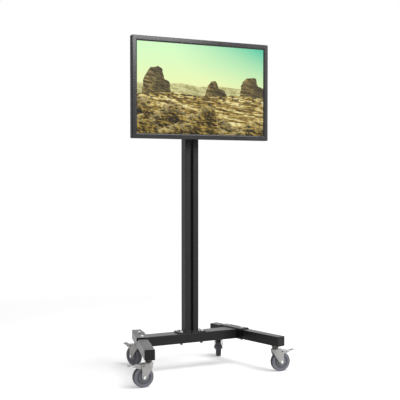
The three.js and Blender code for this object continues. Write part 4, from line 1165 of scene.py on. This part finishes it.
def screen(ring, y):
    """The lit picture behind a thin black border, just behind the frame's lip."""
    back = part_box("display_panel")[1].y
    border = 2.2
    rings = [ring(RIM - 4, y, 0.5), ring(RIM + border, y, 0.2), ring(RIM + border, back, 0.2),
             ring(RIM - 4, back, 0.5), ring(RIM - 4, y, 0.5)]
    frame_mesh = loft(rings, caps=(False, False))
    piece("screen_border", frame_mesh, "display", BLACK_AND_VENT_SHADE, slot="screen", sharp=50)
    right, _, top = [max(values) for values in zip(*rings[1])]
    left, _, bottom = [min(values) for values in zip(*rings[1])]
    panel = loft([ring(RIM + border, y + 0.15 * MM, 0.2), ring(RIM + border, back - SEAT, 0.2)])
    piece("screen_face", panel, "display", screen_picture(right - left, top - bottom),
          "display_panel")


def rear_shell(middle_x, middle_z, width, height):
    """A flat tray and a raised housing, with vents, screws and the power inlet."""
    lo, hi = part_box("display_back")
    rear = hi.y
    step = rear - 22 * MM       # where the tray ends and the housing rises from it
    vents, pitch, vent_x, vent_z = 12, 8 * MM, 168 * MM, 95 * MM
    screw_x, screw_z = 330 * MM, 215 * MM

    def rings(width, height, *rows):
        """Outlines from rows of how much smaller they are, a y, what it gains, and the corner."""
        return [
            at_depth(rounded(width - less * MM, height - less * MM, corner * MM, middle_x, middle_z, 6),
                     base + depth * MM)
            for less, base, depth, corner in rows
        ]

    tray = rings(width, height, (1.2, lo.y, 0, 4.4), (0, lo.y, 0.6, 5), (0, step, -1.6, 5),
                 (0.8, step, -0.6, 5), (3, step, 0, 4), (9, step, 0, 4))
    housing = rings(480 * MM, 320 * MM, (-5, step, 0, 6), (-1, step, 0.8, 5), (28, rear, -2.4, 8),
                    (33, rear, -0.6, 8), (37, rear, 0, 8))
    base, outline = inlet_place(rear)
    opening = outline(-0.4, 2)
    openings, floors = [loft([at_height(opening, z * MM) for z in (-10.5, 1)], base)], []
    slot = rounded(4 * MM, 26 * MM, 1.9 * MM)
    for side in (-1, 1):
        for i in range(vents):
            x = middle_x + side * vent_x + (i - (vents - 1) / 2) * pitch
            vent = facing("y", 1, (x, rear, middle_z + vent_z))
            openings.append(loft([at_height(slot, -2.6 * MM), at_height(slot, MM)], vent))
            floors.append(rounded_bar(3.9 * MM, 25.9 * MM, 1.85 * MM, -2.5 * MM, -1.9 * MM, vent,
                                      0.05 * MM))
    shell = cut_out(loft(tray + housing), *openings)
    piece("rear_shell", shell, "display", REAR, "display_back", sharp=40)
    # The vents' dark floors, painted shade for the inside of the case
    piece("vent_slots", merged(*floors), "display", BLACK_AND_VENT_SHADE)
    screw = mm(0, (0, -0.2), (4, -0.2), (3.8, 0.9), (1.6, 1.5), (1.4, 0.5), (0, 0.5))
    screws = [
        turned(eased(screw, 0.4 * MM),
               facing("y", 1, (middle_x + across * screw_x, step, middle_z + up * screw_z)), 20)
        for across in (-1, 0, 1) for up in (-1, 1)
    ]
    piece("case_screws", merged(*screws), "display", STEEL_AND_UNDER_SHADE)
    inlet(base, outline)


def inlet_place(rear):
    """Where the power inlet sits, and its outline by how much smaller it is and its corner."""
    lo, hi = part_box("power_inlet")
    width, height = hi.x - lo.x, hi.z - lo.z

    def outline(less, corner):
        return rounded(width - less * MM, height - less * MM, corner * MM)

    return facing("y", 1, ((lo.x + hi.x) / 2, rear, (lo.z + hi.z) / 2)), outline


def inlet(base, outline):
    """A moulded socket with three pins."""
    # How much smaller, corner and height: up the outside, over the flange and down into the socket
    steps = ((2.5, 1.8, -10), (2.5, 1.8, -1), (0, 2, -1), (0, 2, 0.1), (2.5, 2, 0.15), (5, 1.6, -0.3),
             (5, 1.6, -9))
    cup = loft([at_height(outline(less, corner), z * MM) for less, corner, z in steps], base)
    piece("inlet_body", cup, "display", PLASTIC, "power_inlet", sharp=50)
    pins = [
        rounded_bar(2 * MM, 4 * MM, 0.5 * MM, -9 * MM, -2.5 * MM,
                    base @ Matrix.Translation((7 * MM * i, 0, 0)), 0.3 * MM)
        for i in (-1, 0, 1)
    ]
    piece("inlet_pins", merged(*pins), "display", BOLT)


# Studio

def seen(tree):
    """1 for rays that show a surface directly, in a mirror or through glass, otherwise 0."""
    path = add_node(tree, "LightPath").outputs
    result = path["Is Camera Ray"]
    for ray in ("Is Glossy Ray", "Is Transmission Ray"):
        result = add_node(tree, "Math", {0: result, 1: path[ray]}, operation="MAXIMUM").outputs[0]
    return result


def backdrop():
    """A white world that lights the object at a moderate level."""
    world = bpy.data.worlds.new("studio")
    bpy.context.scene.world = world
    world.use_nodes = True
    tree = world.node_tree
    background = tree.nodes["Background"]
    background.inputs["Color"].default_value = (1, 1, 1, 1)
    level = {"Value": seen(tree), "To Min": WORLD_LIGHT, "To Max": 1.0}
    strength = add_node(tree, "MapRange", level).outputs["Result"]
    tree.links.new(strength, background.inputs["Strength"])


def floor():
    """A floor that keeps the object's soft shadow near it and runs out into pure white."""
    bm = bmesh.new()
    bmesh.ops.create_grid(bm, x_segments=1, y_segments=1, size=FLOOR_HALF)
    mesh = stored(bm, "floor")
    obj = linked("floor", mesh)
    paint = Paint("floor", None, roughness=1.0, Specular_IOR_Level=0.0)
    shows = seen(paint.tree)
    away = paint.node("VectorMath", {0: paint.place()}, operation="LENGTH").outputs["Value"]
    far = paint.node("MapRange", {
        "Value": away, "From Min": FLOOR_NEAR, "From Max": FLOOR_FAR}).outputs["Result"]
    shade = paint.math("MULTIPLY", paint.math("SUBTRACT", 1.0, far), FLOOR_SHADE)
    white = paint.math("MULTIPLY_ADD", far, 1.0 - FLOOR_WHITE, FLOOR_WHITE)

    def where_seen(bounced, shown):
        return paint.math("MULTIPLY_ADD", shows, paint.math("SUBTRACT", shown, bounced), bounced)

    level = where_seen(FLOOR_BOUNCE, shade)
    grey = paint.node("CombineColor", {"Red": level, "Green": level, "Blue": level})
    paint.link(grey.outputs[0], "Base Color")
    paint.shader.inputs["Emission Color"].default_value = (1, 1, 1, 1)
    paint.link(where_seen(0.0, white), "Emission Strength")
    mesh.materials.append(paint.material)


def lamp(name, place, target, size, power):
    data = bpy.data.lights.new(name, "AREA")
    data.shape = "RECTANGLE"
    data.size, data.size_y = size
    data.energy = power
    obj = linked(name, data)
    obj.location = place
    obj.rotation_euler = (Vector(target) - Vector(place)).to_track_quat("-Z", "Y").to_euler()


def camera():
    data = bpy.data.cameras.new("camera")
    data.lens = CAMERA_LENS
    data.sensor_width = CAMERA_SENSOR
    data.clip_end = 60
    obj = linked("camera", data)
    obj.location = Vector((COLUMN.x, COLUMN.y, 0)) + Vector(CAMERA_OFFSET)
    obj.rotation_euler = (QUARTER - radians(CAMERA_PITCH), 0, -radians(CAMERA_YAW))
    bpy.context.scene.camera = obj


CAMERA_LENS = 73.35
CAMERA_SENSOR = 36
CAMERA_OFFSET = (-1.809, -3.829, 0.999)  # from the column's axis on the floor
CAMERA_YAW = 26.0
CAMERA_PITCH = 1.728
WORLD_LIGHT = 0.40
FLOOR_HALF = 30.0
FLOOR_BOUNCE = 0.55    # how much light the floor throws back at the object
FLOOR_NEAR = 1.3       # radius within which the floor shows shadows in full
FLOOR_FAR = FLOOR_NEAR * 2.2    # radius beyond which it is pure white
FLOOR_SHADE = 0.7      # how much of the light's unevenness the camera sees on it
FLOOR_WHITE = 0.34

crossbeam()
legs()
foot_and_column()
for place_name in PLACES:
    caster(place_name)
carriage()
tilt_head()
display()

backdrop()
floor()
lamp("overhead", (1.0, -0.6, 4.2), (0, 0, 0), (2.4, 2.4), 140)
lamp("key", (3.4, -2.8, 2.2), (0, 0, 0.4), (2.0, 2.0), 100)
lamp("front", (1.22, -4.0, 2.64), (0, 0, 1.4), (1.2, 0.9), 43)
camera()

bpy.context.scene.view_settings.view_transform = "Standard"
